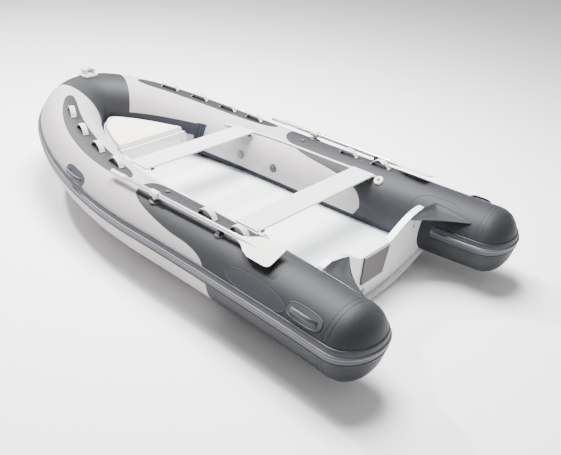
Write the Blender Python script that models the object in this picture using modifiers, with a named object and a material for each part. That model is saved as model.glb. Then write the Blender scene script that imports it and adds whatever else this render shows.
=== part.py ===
"""Rigid-hull inflatable dinghy: hull, buoyancy tubes, deck, locker, benches, oars and fittings.

Metres. +X is port, +Y is the stern, +Z is up. The origin is under the middle of the boat,
at the height of the keel guard's flat bottom.
"""
import math

import bmesh
import bpy
from mathutils import Matrix, Vector

# ---- driving dimensions -------------------------------------------------------------
TUBE_RADIUS = 0.215
STERN_RADIUS = 0.204         # the tubes thin a little towards the stern
TAPER_START = 0.92
TUBE_HEIGHT = 0.285          # tube centre above the keel, aft of the bow curve
TUBE_SKIN = 0.0012
BOW_STEPS = 20
TUBE_SIDES_RESOLUTION = 10   # curve bevel resolution: 24 sides
MID_HALF_WIDTH = 0.640       # tube centre to the boat's middle plane, at the bow curve's start
STERN_FLARE = 0.060          # how far the tube centre has moved out at the stern
BOW_START = 0.104            # where the straight sides end
BOW_LENGTH = 1.606            # from there to the tube centre at the bow
BOW_RISE = 0.17              # how far the tube centre climbs at the bow
STERN_END = 1.566            # where the end caps start
CAP_LENGTH = 0.151
TUBE_GAP = 0.0005            # what touches the tube keeps this clearance

STRAKE_RISE = 0.030          # strake centre above the tube centre
STRAKE_HALF_HEIGHT = 0.036
STRAKE_STAND = 0.018

HULL_SKIN = 0.005
HULL_EDGE_ANGLE = math.radians(-128)   # where the hull meets the tube, 0 outboard, 90 up
KEEL_Z = 0.012
KEEL_HALF_WIDTH = 0.055
HULL_SWEEP = 1.8             # how hollow the frames are between keel and edge
HULL_AFT = 1.170
STEM_START = -0.45
STEM_CURVE = 2.0

DECK_TOP = 0.170
DECK_THICKNESS = 0.012

TRANSOM_Y = 1.215            # aft face of the transom at TRANSOM_TOP
TRANSOM_TOP = 0.337
TRANSOM_RAKE = math.radians(5)
TRANSOM_THICKNESS = 0.040

BULKHEAD_Y = -0.752          # aft face of the locker bulkhead
BULKHEAD_THICKNESS = 0.018
BULKHEAD_HALF_WIDTH = 0.330
LOCKER_TOP = 0.372
LOCKER_PLATE = 0.010
LID_AFT = -0.748
LID_MARGIN = 0.022           # lid edge to tube
LID_GAP = 0.004
CUSHION_THICKNESS = 0.050

RAIL_Z = (0.450, 0.4775)
RAIL_Y = (-0.500, 0.800)
RAIL_LEDGE = 0.020           # how far the rail stands inboard of the tube, at its top
BENCHES = {"front": (-0.208, 0.484), "rear": (0.797, 0.545)}     # aft edge, half-length
BENCH_WIDTH = 0.168
BENCH_THICKNESS = 0.010

LOOP_STATIONS = (-1.098, -0.852, -0.598, -0.352, 0.512, 0.765)
LOOP_LENGTH = 0.150
LOOP_RISE = 0.042
LOOP_WIDTH = 0.030
STRAP = 0.0035

HANDLE_STATIONS = {"bow": (-0.528, 28), "stern": (1.400, 36)}
HANDLE_LENGTH = 0.225

OAR_X = 0.716
OAR_Z = 0.527
OAR_LOCK_Y = 0.160
OAR_GRIP_END = -0.245
OAR_BLADE_START = 0.790
OAR_BLADE_END = 1.095
OAR_SHAFT_RADIUS = 0.0145
OAR_ROLL = math.radians(20)
OAR_CLIP_Y = 0.690

VALVE_STATION = {"port": -0.285, "starboard": -0.285}
VALVE_HOLE = 0.024

STARBOARD, PORT = -1, 1
SIDES = {"port": PORT, "starboard": STARBOARD}


# ---- scene set-up -------------------------------------------------------------------
def clear_scene():
    for obj in list(bpy.data.objects):
        bpy.data.objects.remove(obj, do_unlink=True)


def new_collection(name):
    collection = bpy.data.collections.new(name)
    bpy.context.scene.collection.children.link(collection)
    return collection


clear_scene()
PARTS = new_collection("inflatable_dinghy")
CUTTERS = new_collection("cutters")


def material(name, colour, roughness, metallic=0.0):
    mat = bpy.data.materials.new(name)
    mat.use_nodes = True
    shader = mat.node_tree.nodes["Principled BSDF"]
    shader.inputs["Base Color"].default_value = (*colour, 1.0)
    shader.inputs["Roughness"].default_value = roughness
    shader.inputs["Metallic"].default_value = metallic
    return mat


DARK_FABRIC = material("dark_tube_fabric", (0.085, 0.09, 0.097), 0.55)
LIGHT_FABRIC = material("light_tube_fabric", (0.55, 0.53, 0.51), 0.55)
RUBBER = material("strake_rubber", (0.16, 0.165, 0.175), 0.6)
BLACK_PLASTIC = material("black_plastic", (0.03, 0.03, 0.033), 0.5)
GREY_PLASTIC = material("grey_plastic", (0.12, 0.125, 0.13), 0.5)
LIGHT_PLASTIC = material("light_plastic", (0.6, 0.6, 0.57), 0.45)
WHITE_GELCOAT = material("white_gelcoat", (0.8, 0.81, 0.8), 0.25)
PLANK_PAINT = material("bench_paint", (0.62, 0.66, 0.64), 0.45)
WEBBING = material("webbing", (0.6, 0.58, 0.5), 0.8)
CREAM_VINYL = material("cushion_vinyl", (0.74, 0.71, 0.66), 0.6)
PAD_RUBBER = material("motor_pad_rubber", (0.33, 0.31, 0.33), 0.7)
ALLOY = material("anodised_alloy", (0.75, 0.76, 0.77), 0.3, 1.0)
STEEL = material("stainless_steel", (0.7, 0.7, 0.7), 0.25, 1.0)


def keep(obj, name, mat):
    """Name a finished part, give it its material and put it with the parts."""
    obj.name = name
    obj.data.name = name
    obj.data.materials.clear()
    obj.data.materials.append(mat)
    move_to(obj, PARTS)
    return obj


def move_to(obj, collection):
    for old in list(obj.users_collection):
        old.objects.unlink(obj)
    collection.objects.link(obj)


def as_cutter(obj):
    move_to(obj, CUTTERS)
    obj.hide_render = True
    obj.display_type = "WIRE"
    return obj


def mesh_object(name, bm):
    mesh = bpy.data.meshes.new(name)
    bmesh.ops.recalc_face_normals(bm, faces=bm.faces)
    bm.to_mesh(mesh)
    bm.free()
    obj = bpy.data.objects.new(name, mesh)
    bpy.context.scene.collection.objects.link(obj)
    return obj


def curve_to_mesh(obj):
    """Replace a curve object by a closed mesh object."""
    bpy.context.view_layer.update()
    evaluated = obj.evaluated_get(bpy.context.evaluated_depsgraph_get())
    mesh = bpy.data.meshes.new_from_object(evaluated)
    bm = bmesh.new()
    bm.from_mesh(mesh)
    bmesh.ops.remove_doubles(bm, verts=bm.verts, dist=0.00005)
    bmesh.ops.recalc_face_normals(bm, faces=bm.faces)
    bm.to_mesh(mesh)
    bm.free()
    new = bpy.data.objects.new(obj.name, mesh)
    new.matrix_world = obj.matrix_world.copy()
    bpy.context.scene.collection.objects.link(new)
    bpy.data.objects.remove(obj, do_unlink=True)
    return new


def modifier(obj, kind, **settings):
    mod = obj.modifiers.new(kind.lower(), kind)
    for key, value in settings.items():
        setattr(mod, key, value)
    return mod


def boolean(obj, cutter, operation="DIFFERENCE"):
    return modifier(obj, "BOOLEAN", operation=operation, object=cutter, solver="EXACT")


def bevel(obj, width, segments=2, angle=35):
    return modifier(obj, "BEVEL", width=width, segments=segments, limit_method="ANGLE",
                    angle_limit=math.radians(angle))


def smooth(obj, angle=40):
    obj.data.shade_smooth()
    obj.data.set_sharp_from_angle(angle=math.radians(angle))
    return obj


# ---- basic shapes -------------------------------------------------------------------
def box(name, low, high):
    bm = bmesh.new()
    bmesh.ops.create_cube(bm, size=1.0)
    size = Vector(high) - Vector(low)
    bmesh.ops.scale(bm, vec=size, verts=bm.verts)
    bmesh.ops.translate(bm, vec=(Vector(low) + Vector(high)) / 2, verts=bm.verts)
    return mesh_object(name, bm)


def facing(axis):
    """Rotation that turns +Z to the given axis."""
    return Vector((0, 0, 1)).rotation_difference(Vector(axis).normalized()).to_matrix().to_4x4()


def cylinder(name, start, end, radius, sides=20, end_radius=None):
    start, end = Vector(start), Vector(end)
    bm = bmesh.new()
    bmesh.ops.create_cone(bm, cap_ends=True, segments=sides, radius1=radius,
                          radius2=radius if end_radius is None else end_radius,
                          depth=(end - start).length)
    place = Matrix.Translation((start + end) / 2) @ facing(end - start)
    bmesh.ops.transform(bm, matrix=place, verts=bm.verts)
    return mesh_object(name, bm)


def turned(name, profile, place, steps=20):
    """A turned solid: the profile runs (radius, height) from top to bottom."""
    bm = bmesh.new()
    verts = [bm.verts.new((radius, 0, height)) for radius, height in profile]
    for first, second in zip(verts, verts[1:]):
        bm.edges.new((first, second))
    mesh = bpy.data.meshes.new(name)
    bm.to_mesh(mesh)
    bm.free()
    obj = bpy.data.objects.new(name, mesh)
    bpy.context.scene.collection.objects.link(obj)
    obj.matrix_world = place
    modifier(obj, "SCREW", steps=steps, render_steps=steps, use_merge_vertices=True,
             merge_threshold=0.00005)
    return obj


def poly_curve(name, points, radius, resolution, radii=None, cyclic=False):
    curve = bpy.data.curves.new(name, "CURVE")
    curve.dimensions = "3D"
    curve.twist_mode = "Z_UP"
    curve.bevel_depth = radius
    curve.bevel_resolution = resolution
    curve.use_fill_caps = not cyclic
    spline = curve.splines.new("POLY")
    spline.points.add(len(points) - 1)
    for index, point in enumerate(points):
        spline.points[index].co = (*point, 1.0)
        spline.points[index].radius = radii[index] if radii else 1.0
    spline.use_cyclic_u = cyclic
    obj = bpy.data.objects.new(name, curve)
    bpy.context.scene.collection.objects.link(obj)
    return obj


def plate(name, outline, thickness, place=None):
    """A flat 2D outline with thickness, centred on its own plane."""
    curve = bpy.data.curves.new(name, "CURVE")
    curve.dimensions = "2D"
    curve.fill_mode = "BOTH"
    curve.extrude = thickness / 2
    spline = curve.splines.new("POLY")
    spline.points.add(len(outline) - 1)
    for point, (x, y) in zip(spline.points, outline):
        point.co = (x, y, 0, 1)
    spline.use_cyclic_u = True
    obj = bpy.data.objects.new(name, curve)
    bpy.context.scene.collection.objects.link(obj)
    obj.matrix_world = place or Matrix.Identity(4)
    return curve_to_mesh(obj)


def apply_place(obj):
    obj.data.transform(obj.matrix_world)
    obj.matrix_world = Matrix.Identity(4)
    return obj


def arc(centre, radius, start, end, count):
    """Points on an arc, angles in degrees."""
    angles = [math.radians(start + (end - start) * step / (count - 1)) for step in range(count)]
    return [(centre[0] + radius * math.cos(a), centre[1] + radius * math.sin(a)) for a in angles]


def rounded_rectangle(half_x, half_y, corner, count=4):
    points = []
    for quarter in range(4):
        sign_x = (1, -1, -1, 1)[quarter]
        sign_y = (1, 1, -1, -1)[quarter]
        centre = (sign_x * (half_x - corner), sign_y * (half_y - corner))
        points += arc(centre, corner, 90 * quarter, 90 * quarter + 90, count)
    return points


# ---- the tube's centre line ---------------------------------------------------------
def tube_centre(y, side=PORT):
    """Centre of the tube at station y."""
    if y >= BOW_START:
        along = (y - BOW_START) / (STERN_END - BOW_START)
        return Vector((side * (MID_HALF_WIDTH + STERN_FLARE * along ** 2), y, TUBE_HEIGHT))
    turn = math.asin(min(1.0, (BOW_START - y) / BOW_LENGTH))
    return bow_centre(turn, side)


def bow_centre(turn, side=PORT):
    """Centre of the tube in the bow curve; turn runs from 0 to pi/2 at the stem."""
    return Vector((side * MID_HALF_WIDTH * math.cos(turn), BOW_START - BOW_LENGTH * math.sin(turn),
                   TUBE_HEIGHT + BOW_RISE * math.sin(turn) ** 2))


def tube_radius(y):
    """Radius of the tube at station y."""
    along = min(1.0, max(0.0, (y - TAPER_START) / (STERN_END - TAPER_START)))
    return TUBE_RADIUS + (STERN_RADIUS - TUBE_RADIUS) * along


def tube_frame(y, side=PORT):
    """Centre, aft tangent, outboard normal and upward normal of the tube at station y."""
    centre = tube_centre(y, side)
    step = 0.004
    aft = (tube_centre(y + step, side) - centre).normalized()
    outboard = aft.cross(Vector((0, 0, 1))) * side
    outboard.normalize()
    upward = outboard.cross(aft) * side
    return centre, aft, outboard, upward


def on_tube(y, degrees, side=PORT, stand=0.0):
    """Point on the tube, 0 degrees outboard and 90 on top, with its outward normal and tangent."""
    centre, aft, outboard, upward = tube_frame(y, side)
    angle = math.radians(degrees)
    normal = outboard * math.cos(angle) + upward * math.sin(angle)
    return centre + normal * (tube_radius(y) + stand), normal, aft


def tube_place(y, degrees, side=PORT, stand=0.0):
    """Matrix whose Z is the tube's outward normal and whose Y points aft."""
    point, normal, aft = on_tube(y, degrees, side, stand)
    across = aft.cross(normal)
    place = Matrix((across, aft, normal)).transposed().to_4x4()
    place.translation = point
    return place


def half_path(side):
    """Centre-line points from the stem to the start of the end cap."""
    turns = [math.pi / 2 * (1 - step / BOW_STEPS) for step in range(BOW_STEPS)]
    straight = [BOW_START, 0.50, TAPER_START, 1.20, 1.40, STERN_END]
    return [bow_centre(turn, side) for turn in turns] + [tube_centre(y, side) for y in straight]


CAP_ANGLES = [math.radians(angle) for angle in (22, 44, 62, 76)]


def with_cap(points, shrink=0.0):
    """Add the end cap's rings; returns points and their radii as shares of the tube's radius."""
    last = points[-1]
    cap = [last + Vector((0, (CAP_LENGTH - shrink) * math.sin(angle), 0)) for angle in CAP_ANGLES]
    radii = [tube_radius(point.y) / TUBE_RADIUS for point in points]
    radii += [radii[-1] * math.cos(angle) for angle in CAP_ANGLES]
    return points + cap, radii


def both_tubes(name, shrink):
    """One solid round both tubes, from end cap to end cap, smaller than them by shrink."""
    port, radii = with_cap(half_path(PORT), shrink)
    starboard, _ = with_cap(half_path(STARBOARD), shrink)
    points = list(reversed(port)) + starboard[1:]
    all_radii = list(reversed(radii)) + radii[1:]
    obj = poly_curve(name, points, TUBE_RADIUS - shrink, TUBE_SIDES_RESOLUTION, all_radii)
    obj = curve_to_mesh(obj)
    modifier(obj, "TRIANGULATE", quad_method="FIXED")
    return obj


def one_side(obj, word, side, margin):
    """Keep only what lies further than margin from the middle plane on this side."""
    low = (-1.2, -2.0, -0.2) if side == PORT else (-margin, -2.0, -0.2)
    high = (margin, 2.0, 1.2) if side == PORT else (1.2, 2.0, 1.2)
    boolean(obj, as_cutter(box("other_side_" + word, low, high)))
    return obj


CLEARANCE = as_cutter(both_tubes("tube_clearance", -TUBE_GAP))


# ---- tubes and strake ---------------------------------------------------------------
def make_tube(word, side):
    obj = one_side(both_tubes("skin", 0.0), word, side, 0.0002)
    air = one_side(both_tubes("air_" + word, TUBE_SKIN), "air_" + word, side, TUBE_SKIN)
    boolean(obj, as_cutter(air))
    point, normal, _ = on_tube(VALVE_STATION[word], 175, side)
    hole = cylinder("hole_" + word, point - normal * 0.02, point + normal * 0.01, VALVE_HOLE, 16)
    boolean(obj, as_cutter(hole))
    keep(smooth(obj), "tube_" + word, DARK_FABRIC if side == PORT else LIGHT_FABRIC)


def strake_path():
    """Round the whole boat at the tube's widest: from transom to transom outside the tubes."""
    half = []
    inner_start = TRANSOM_Y + 0.055
    for step in range(4):
        y = inner_start + (STERN_END - inner_start) * step / 4
        half.append(tube_centre(y) - Vector((tube_radius(y), 0, 0)))
    tip = tube_centre(STERN_END)
    for step in range(13):
        angle = math.radians(180 - 180 * step / 12)
        half.append(tip + Vector((STERN_RADIUS * math.cos(angle), CAP_LENGTH * math.sin(angle), 0)))
    for y in (1.40, 1.20, TAPER_START, 0.50, BOW_START):
        half.append(on_tube(y, 0)[0])
    for step in range(1, BOW_STEPS + 1):
        turn = math.pi / 2 * step / BOW_STEPS
        if step == BOW_STEPS:
            half.append(bow_centre(turn) + Vector((0, -TUBE_RADIUS, 0)))
        else:
            half.append(on_tube(bow_centre(turn).y, 0)[0])
    mirrored = [Vector((-p.x, p.y, p.z)) for p in reversed(half[:-1])]
    return [p + Vector((0, 0, STRAKE_RISE)) for p in half + mirrored]


def make_strake():
    outline = [(-0.012, -STRAKE_HALF_HEIGHT), (0.006, -STRAKE_HALF_HEIGHT), (0.011, -0.032),
               (0.011, -0.012), (STRAKE_STAND, -0.007), (STRAKE_STAND, 0.007), (0.011, 0.012),
               (0.008, 0.034), (0.002, STRAKE_HALF_HEIGHT), (-0.012, STRAKE_HALF_HEIGHT)]
    profile = bpy.data.curves.new("strake_profile", "CURVE")
    profile.dimensions = "2D"
    spline = profile.splines.new("POLY")
    spline.points.add(len(outline) - 1)
    for point, (out, up) in zip(spline.points, outline):
        point.co = (out, up, 0, 1)
    spline.use_cyclic_u = True
    profile_object = as_cutter(bpy.data.objects.new("strake_profile", profile))
    obj = poly_curve("strake", strake_path(), 0.0, 0)
    obj.data.bevel_mode = "OBJECT"
    obj.data.bevel_object = profile_object
    obj = curve_to_mesh(obj)
    boolean(obj, CLEARANCE)
    keep(smooth(obj), "rub_strake", RUBBER)


# ---- hull, deck and transom ---------------------------------------------------------
def hull_edge(y, stand=0.0):
    """Where the hull's side meets the tube."""
    return on_tube(y, math.degrees(HULL_EDGE_ANGLE), PORT, stand)[0]


def keel_height(y):
    if y >= STEM_START:
        return KEEL_Z
    top = hull_edge(HULL_FORE).z - 0.004
    along = (STEM_START - y) / (STEM_START - HULL_FORE_Y)
    return KEEL_Z + (top - KEEL_Z) * along ** STEM_CURVE


HULL_FORE = -1.496           # tube station whose hull edge is nearly at the middle plane
HULL_FORE_Y = hull_edge(HULL_FORE).y


def hull_rib(edge, count=7):
    """Half of a frame, from the keel out to the edge point."""
    keel = keel_height(edge.y)
    flat = min(KEEL_HALF_WIDTH, edge.x * 0.35)
    points = [Vector((0, edge.y, keel))]
    for step in range(count):
        along = step / (count - 1)
        x = flat + (edge.x - flat) * along
        points.append(Vector((x, edge.y, keel + (edge.z - keel) * along ** HULL_SWEEP)))
    return points


def make_hull():
    stations = [HULL_AFT + 0.05 - 1.70 * step / 9 for step in range(10)]
    turns = [math.radians(turn) for turn in (30, 38, 45, 52, 58, 64, 70, 75, 79)]
    stations += [bow_centre(turn).y for turn in turns]
    bm = bmesh.new()
    rows = []
    for station in stations:
        edge = hull_edge(station, -0.004)
        rows.append([bm.verts.new(point) for point in hull_rib(edge)])
    for first, second in zip(rows, rows[1:]):
        for index in range(len(first) - 1):
            bm.faces.new((first[index], first[index + 1], second[index + 1], second[index]))
    obj = mesh_object("hull", bm)
    modifier(obj, "MIRROR", use_axis=(True, False, False), merge_threshold=0.0001)
    modifier(obj, "SOLIDIFY", thickness=HULL_SKIN, offset=0.0, use_even_offset=True)
    boolean(obj, CLEARANCE)
    keep(smooth(obj, 30), "hull_shell", WHITE_GELCOAT)
    return obj


def make_keel_guard():
    """A flat strip under the keel, which turns up with the stem."""
    points = []
    for step in range(9):
        points.append(HULL_AFT - (HULL_AFT + 0.50) * step / 8)
    points += [STEM_START - 0.62 * step / 6 for step in range(1, 7)]
    bm = bmesh.new()
    rows = []
    low, high = KEEL_Z, 0.0015 + HULL_SKIN / 2
    for y in points:
        half = min(KEEL_HALF_WIDTH, hull_edge_at(y).x * 0.35) - 0.003
        slope = (keel_height(y - 0.01) - keel_height(y + 0.01)) / 0.02
        normal = Vector((0, -slope, -1)).normalized()
        base = Vector((0, y, keel_height(y)))
        row = []
        for drop, width in ((high, half), (low, half * 0.9)):
            for sign in (1, -1):
                row.append(bm.verts.new(base + normal * drop + Vector((sign * width, 0, 0))))
        rows.append((row[0], row[1], row[3], row[2]))
    for first, second in zip(rows, rows[1:]):
        for index in range(4):
            after = (index + 1) % 4
            bm.faces.new((first[index], first[after], second[after], second[index]))
    bm.faces.new(rows[0])
    bm.faces.new(rows[-1])
    keep(mesh_object("keel", bm), "keel_guard", GREY_PLASTIC)


def hull_edge_at(y):
    """The hull's port edge where it crosses station y."""
    low, high = HULL_FORE, STERN_END
    for _ in range(30):
        middle = (low + high) / 2
        if hull_edge(middle).y < y:
            low = middle
        else:
            high = middle
    return hull_edge(low)


def deck_half_width(y):
    """Half-width of the deck, a little inside the hull's inner face."""
    edge = hull_edge_at(y)
    keel = keel_height(y)
    flat = min(KEEL_HALF_WIDTH, edge.x * 0.35)
    depth = (DECK_TOP - DECK_THICKNESS - 0.012 - keel) / (edge.z - keel)
    return flat + (edge.x - flat) * min(1.0, depth ** (1 / HULL_SWEEP)) - 0.012


def make_deck():
    fore = BULKHEAD_Y + 0.001
    aft = TRANSOM_Y - 0.065
    count = 9
    ys = [aft + (fore - aft) * step / (count - 1) for step in range(count)]
    port = [(deck_half_width(y), y) for y in ys]
    outline = port + [(-x, y) for x, y in reversed(port)]
    place = Matrix.Translation((0, 0, DECK_TOP - DECK_THICKNESS / 2))
    obj = plate("deck", outline, DECK_THICKNESS, place)
    apply_place(obj)
    boolean(obj, CLEARANCE)
    keep(obj, "deck_floor", WHITE_GELCOAT)


def transom_outline():
    """Port half from the bottom out to the side and back along the top."""
    edge = hull_edge(TRANSOM_Y - 0.03)
    bottom = []
    for point in hull_rib(edge)[1:]:
        bottom.append((point.x, point.z + HULL_SKIN / 2 + 0.0018))
    side = [(0.590, 0.180), (0.590, 0.330), (0.510, 0.372), (0.510, 0.412)]
    top = [(0.494, 0.430), (0.470, 0.443), (0.435, 0.448), (0.390, 0.445), (0.340, 0.434),
           (0.290, 0.414), (0.225, 0.382), (0.165, 0.347), (0.142, TRANSOM_TOP)]
    return bottom + side + top


def make_transom():
    half = transom_outline()
    outline = half + [(-x, z) for x, z in reversed(half)]
    hang = Matrix.Rotation(math.pi / 2, 4, "X")
    lean = Matrix.Rotation(-TRANSOM_RAKE, 4, "X")
    pivot = Matrix.Translation((0, TRANSOM_Y, TRANSOM_TOP))
    back = Matrix.Translation((0, -TRANSOM_THICKNESS / 2, -TRANSOM_TOP))
    obj = plate("transom", outline, TRANSOM_THICKNESS, pivot @ lean @ back @ hang)
    apply_place(obj)
    boolean(obj, CLEARANCE)
    bevel(obj, 0.004, 2, 60)
    keep(obj, "transom", WHITE_GELCOAT)


def transom_place(x, z, stand=0.0):
    """A point on the transom's aft face, with Z along the face's aft normal."""
    rise = z - TRANSOM_TOP
    normal = Vector((0, math.cos(TRANSOM_RAKE), -math.sin(TRANSOM_RAKE)))
    up = Vector((0, math.sin(TRANSOM_RAKE), math.cos(TRANSOM_RAKE)))
    point = Vector((x, TRANSOM_Y, TRANSOM_TOP)) + up * rise + normal * stand
    place = Matrix((up.cross(normal), up, normal)).transposed().to_4x4()
    place.translation = point
    return place


def make_motor_pad():
    """A ribbed pad for the engine clamp on the aft face."""
    outline = [(0.104, -0.098), (0.108, -0.094), (0.124, 0.094), (0.120, 0.098)]
    outline += [(-x, y) for x, y in reversed(outline)]
    pad = plate("pad", outline, 0.012, transom_place(0, TRANSOM_TOP - 0.102, 0.0065))
    apply_place(pad)
    bevel(pad, 0.002, 1)
    keep(pad, "motor_pad", PAD_RUBBER)


def make_gusset(word, side):
    """Fabric web from the tube up to the transom's horn."""
    horn = Vector((side * 0.470, TRANSOM_Y + 0.022, 0.428))
    stations = [1.240, 1.290, 1.340, 1.400, 1.480]
    angles = [160, 152, 147, 144, 144]
    bm = bmesh.new()
    tip = bm.verts.new(horn)
    base = [bm.verts.new(on_tube(y, a, side, -0.003)[0]) for y, a in zip(stations, angles)]
    for first, second in zip(base, base[1:]):
        bm.faces.new((tip, first, second))
    obj = mesh_object("gusset", bm)
    modifier(obj, "SOLIDIFY", thickness=0.003, offset=0.0, use_even_offset=True)
    boolean(obj, CLEARANCE)
    keep(obj, "transom_gusset_" + word, DARK_FABRIC)


def make_drain_plug():
    place = transom_place(0.055, 0.075, 0.0005)
    profile = [(0, 0.012), (0.006, 0.012), (0.007, 0.011), (0.007, 0.005), (0.017, 0.004),
               (0.018, 0.003), (0.018, 0.0), (0, 0.0)]
    obj = turned("drain", profile, place, 18)
    keep(smooth(obj), "drain_plug", STEEL)


# ---- bow locker ---------------------------------------------------------------------
def lid_outline(margin, aft):
    """D shape: straight aft edge, and a side and nose that follow the tube at a margin."""
    port = []
    start = math.asin((BOW_START - LID_AFT) / BOW_LENGTH) - math.radians(6)
    for step in range(15):
        turn = start + (math.pi / 2 - start) * step / 14
        centre = bow_centre(turn)
        along = Vector((-MID_HALF_WIDTH * math.sin(turn), -BOW_LENGTH * math.cos(turn)))
        inboard = Vector((along.y, -along.x)).normalized()
        rise = LOCKER_TOP - centre.z
        reach = math.sqrt(TUBE_RADIUS ** 2 - rise ** 2) + margin
        port.append((centre.x + inboard.x * reach, centre.y + inboard.y * reach))
    port = [point for point in port if point[1] < LID_AFT - 0.004 and point[0] > 0.002]
    port = [(port[0][0] + 0.002, aft)] + port
    nose = bow_centre(math.pi / 2).y + TUBE_RADIUS + margin
    return port + [(0.0, nose)] + [(-x, y) for x, y in reversed(port)]


def level(z):
    return Matrix.Translation((0, 0, z))


def make_locker():
    top = LOCKER_TOP
    bulkhead = box("bulkhead", (-BULKHEAD_HALF_WIDTH, BULKHEAD_Y - BULKHEAD_THICKNESS, 0.163),
                   (BULKHEAD_HALF_WIDTH, BULKHEAD_Y, top - LOCKER_PLATE - 0.0005))
    recess = box("bulkhead_recess", (-0.235, BULKHEAD_Y - 0.004, 0.215),
                 (0.235, BULKHEAD_Y + 0.01, 0.325))
    boolean(bulkhead, as_cutter(recess))
    boolean(bulkhead, CLEARANCE)
    keep(bulkhead, "locker_bulkhead", WHITE_GELCOAT)

    wide = 0.54
    frame_outline = [(-wide, BULKHEAD_Y + 0.006), (wide, BULKHEAD_Y + 0.006), (wide, -1.10),
                     (0.30, -1.36), (-0.30, -1.36), (-wide, -1.10)]
    frame = plate("frame", frame_outline, LOCKER_PLATE, level(top - LOCKER_PLATE / 2))
    apply_place(frame)
    hole = plate("lid_hole", lid_outline(LID_MARGIN - LID_GAP, LID_AFT + 0.05), 0.05, level(top))
    boolean(frame, as_cutter(apply_place(hole)))
    boolean(frame, CLEARANCE)
    keep(frame, "locker_frame", DARK_FABRIC)

    lid = plate("lid", lid_outline(LID_MARGIN, LID_AFT), LOCKER_PLATE,
                level(top - LOCKER_PLATE / 2))
    keep(apply_place(lid), "locker_lid", WHITE_GELCOAT)

    cushion = plate("cushion", lid_outline(LID_MARGIN + 0.005, LID_AFT - 0.006), CUSHION_THICKNESS,
                    level(top + 0.0005 + CUSHION_THICKNESS / 2))
    apply_place(cushion)
    bevel(cushion, 0.012, 2)
    keep(smooth(cushion), "locker_cushion", CREAM_VINYL)

    for word, side in SIDES.items():
        place = Matrix.Translation((side * 0.265, BULKHEAD_Y + 0.0005, 0.312))
        place = place @ Matrix.Rotation(-math.pi / 2, 4, "X")
        outline = rounded_rectangle(0.012, 0.020, 0.011)
        obj = plate("latch", outline, 0.010, place @ level(0.005))
        keep(apply_place(obj), "locker_latch_" + word, STEEL)


# ---- rails and benches --------------------------------------------------------------
def ledge_edge(y):
    """Inner edge of the rail at station y: a step inboard of the tube at the rail's top."""
    centre, _, outboard, _ = tube_frame(y)
    rise = RAIL_Z[1] - centre.z
    reach = math.sqrt(tube_radius(y) ** 2 - rise ** 2) + RAIL_LEDGE
    return centre - outboard * reach


def make_rail(word, side):
    """A ledge along the tube that carries the benches' ends."""
    count = 14
    inner = []
    for step in range(count):
        point = ledge_edge(RAIL_Y[0] + (RAIL_Y[1] - RAIL_Y[0]) * step / (count - 1))
        inner.append((side * point.x, point.y))
    outer = [(side * 0.60, inner[-1][1]), (side * 0.60, -0.10), (side * 0.55, inner[0][1])]
    middle = (RAIL_Z[0] + RAIL_Z[1]) / 2
    rail = plate("rail", inner + outer, RAIL_Z[1] - RAIL_Z[0], level(middle))
    apply_place(rail)
    boolean(rail, CLEARANCE)
    keep(rail, "seat_rail_" + word, LIGHT_PLASTIC)
    place = tube_place(RAIL_Y[1] + 0.034, 124, side, TUBE_GAP)
    profile = [(0, 0.012), (0.026, 0.011), (0.030, 0.008), (0.031, 0.0), (0, 0.0)]
    keep(smooth(turned("disc", profile, place, 20)), "rail_end_" + word, CREAM_VINYL)


def make_bench(word):
    aft, half = BENCHES[word]
    base = RAIL_Z[1] + 0.0005
    bench = box("bench", (-half, aft - BENCH_WIDTH, base), (half, aft, base + BENCH_THICKNESS))
    hollow = box("bench_hollow_" + word, (-half + 0.060, aft - BENCH_WIDTH + 0.016, base - 0.01),
                 (half - 0.060, aft - 0.016, base + BENCH_THICKNESS - 0.003))
    boolean(bench, as_cutter(hollow))
    bevel(bench, 0.002, 2, 60)
    pin_x, pin_y = half - 0.024, aft - 0.019
    hole = cylinder("pin_hole_" + word, (pin_x, pin_y, base - 0.01), (pin_x, pin_y, base + 0.04),
                    0.0056, 16)
    boolean(bench, as_cutter(hole))
    keep(bench, "bench_" + word, PLANK_PAINT)
    place = Matrix.Translation((pin_x, pin_y, base + 0.0004))
    knob = BENCH_THICKNESS + 0.0004
    profile = [(0, knob + 0.014), (0.009, knob + 0.014), (0.011, knob + 0.011),
               (0.011, knob + 0.004), (0.008, knob), (0.005, knob), (0.005, 0.0), (0, 0.0)]
    keep(smooth(turned("pin", profile, place, 14)), "bench_pin_" + word, BLACK_PLASTIC)


# ---- loops and handles --------------------------------------------------------------
def make_loop(name, station, side):
    """A webbing strap sewn down at both ends, standing up in a bow between them."""
    half = LOOP_LENGTH / 2
    outer = [(-half, 0.0), (-half, STRAP)]
    inner = []
    count = 9
    for step in range(count):
        along = -1 + 2 * step / (count - 1)
        y = along * (half - 0.018)
        rise = LOOP_RISE * (1 - abs(along) ** 2.4)
        outer.append((y, rise + STRAP))
        inner.append((y * 0.965, max(rise - 0.0004, 0.0)))
    outer += [(half, STRAP), (half, 0.0)]
    outline = outer + list(reversed(inner))
    place = tube_place(station, 90, side, -0.001)
    stand = Matrix(((0, 0, 1), (1, 0, 0), (0, 1, 0))).to_4x4()
    obj = plate("loop", outline, LOOP_WIDTH, place @ stand)
    apply_place(obj)
    boolean(obj, CLEARANCE)
    keep(obj, name, WEBBING)


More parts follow.
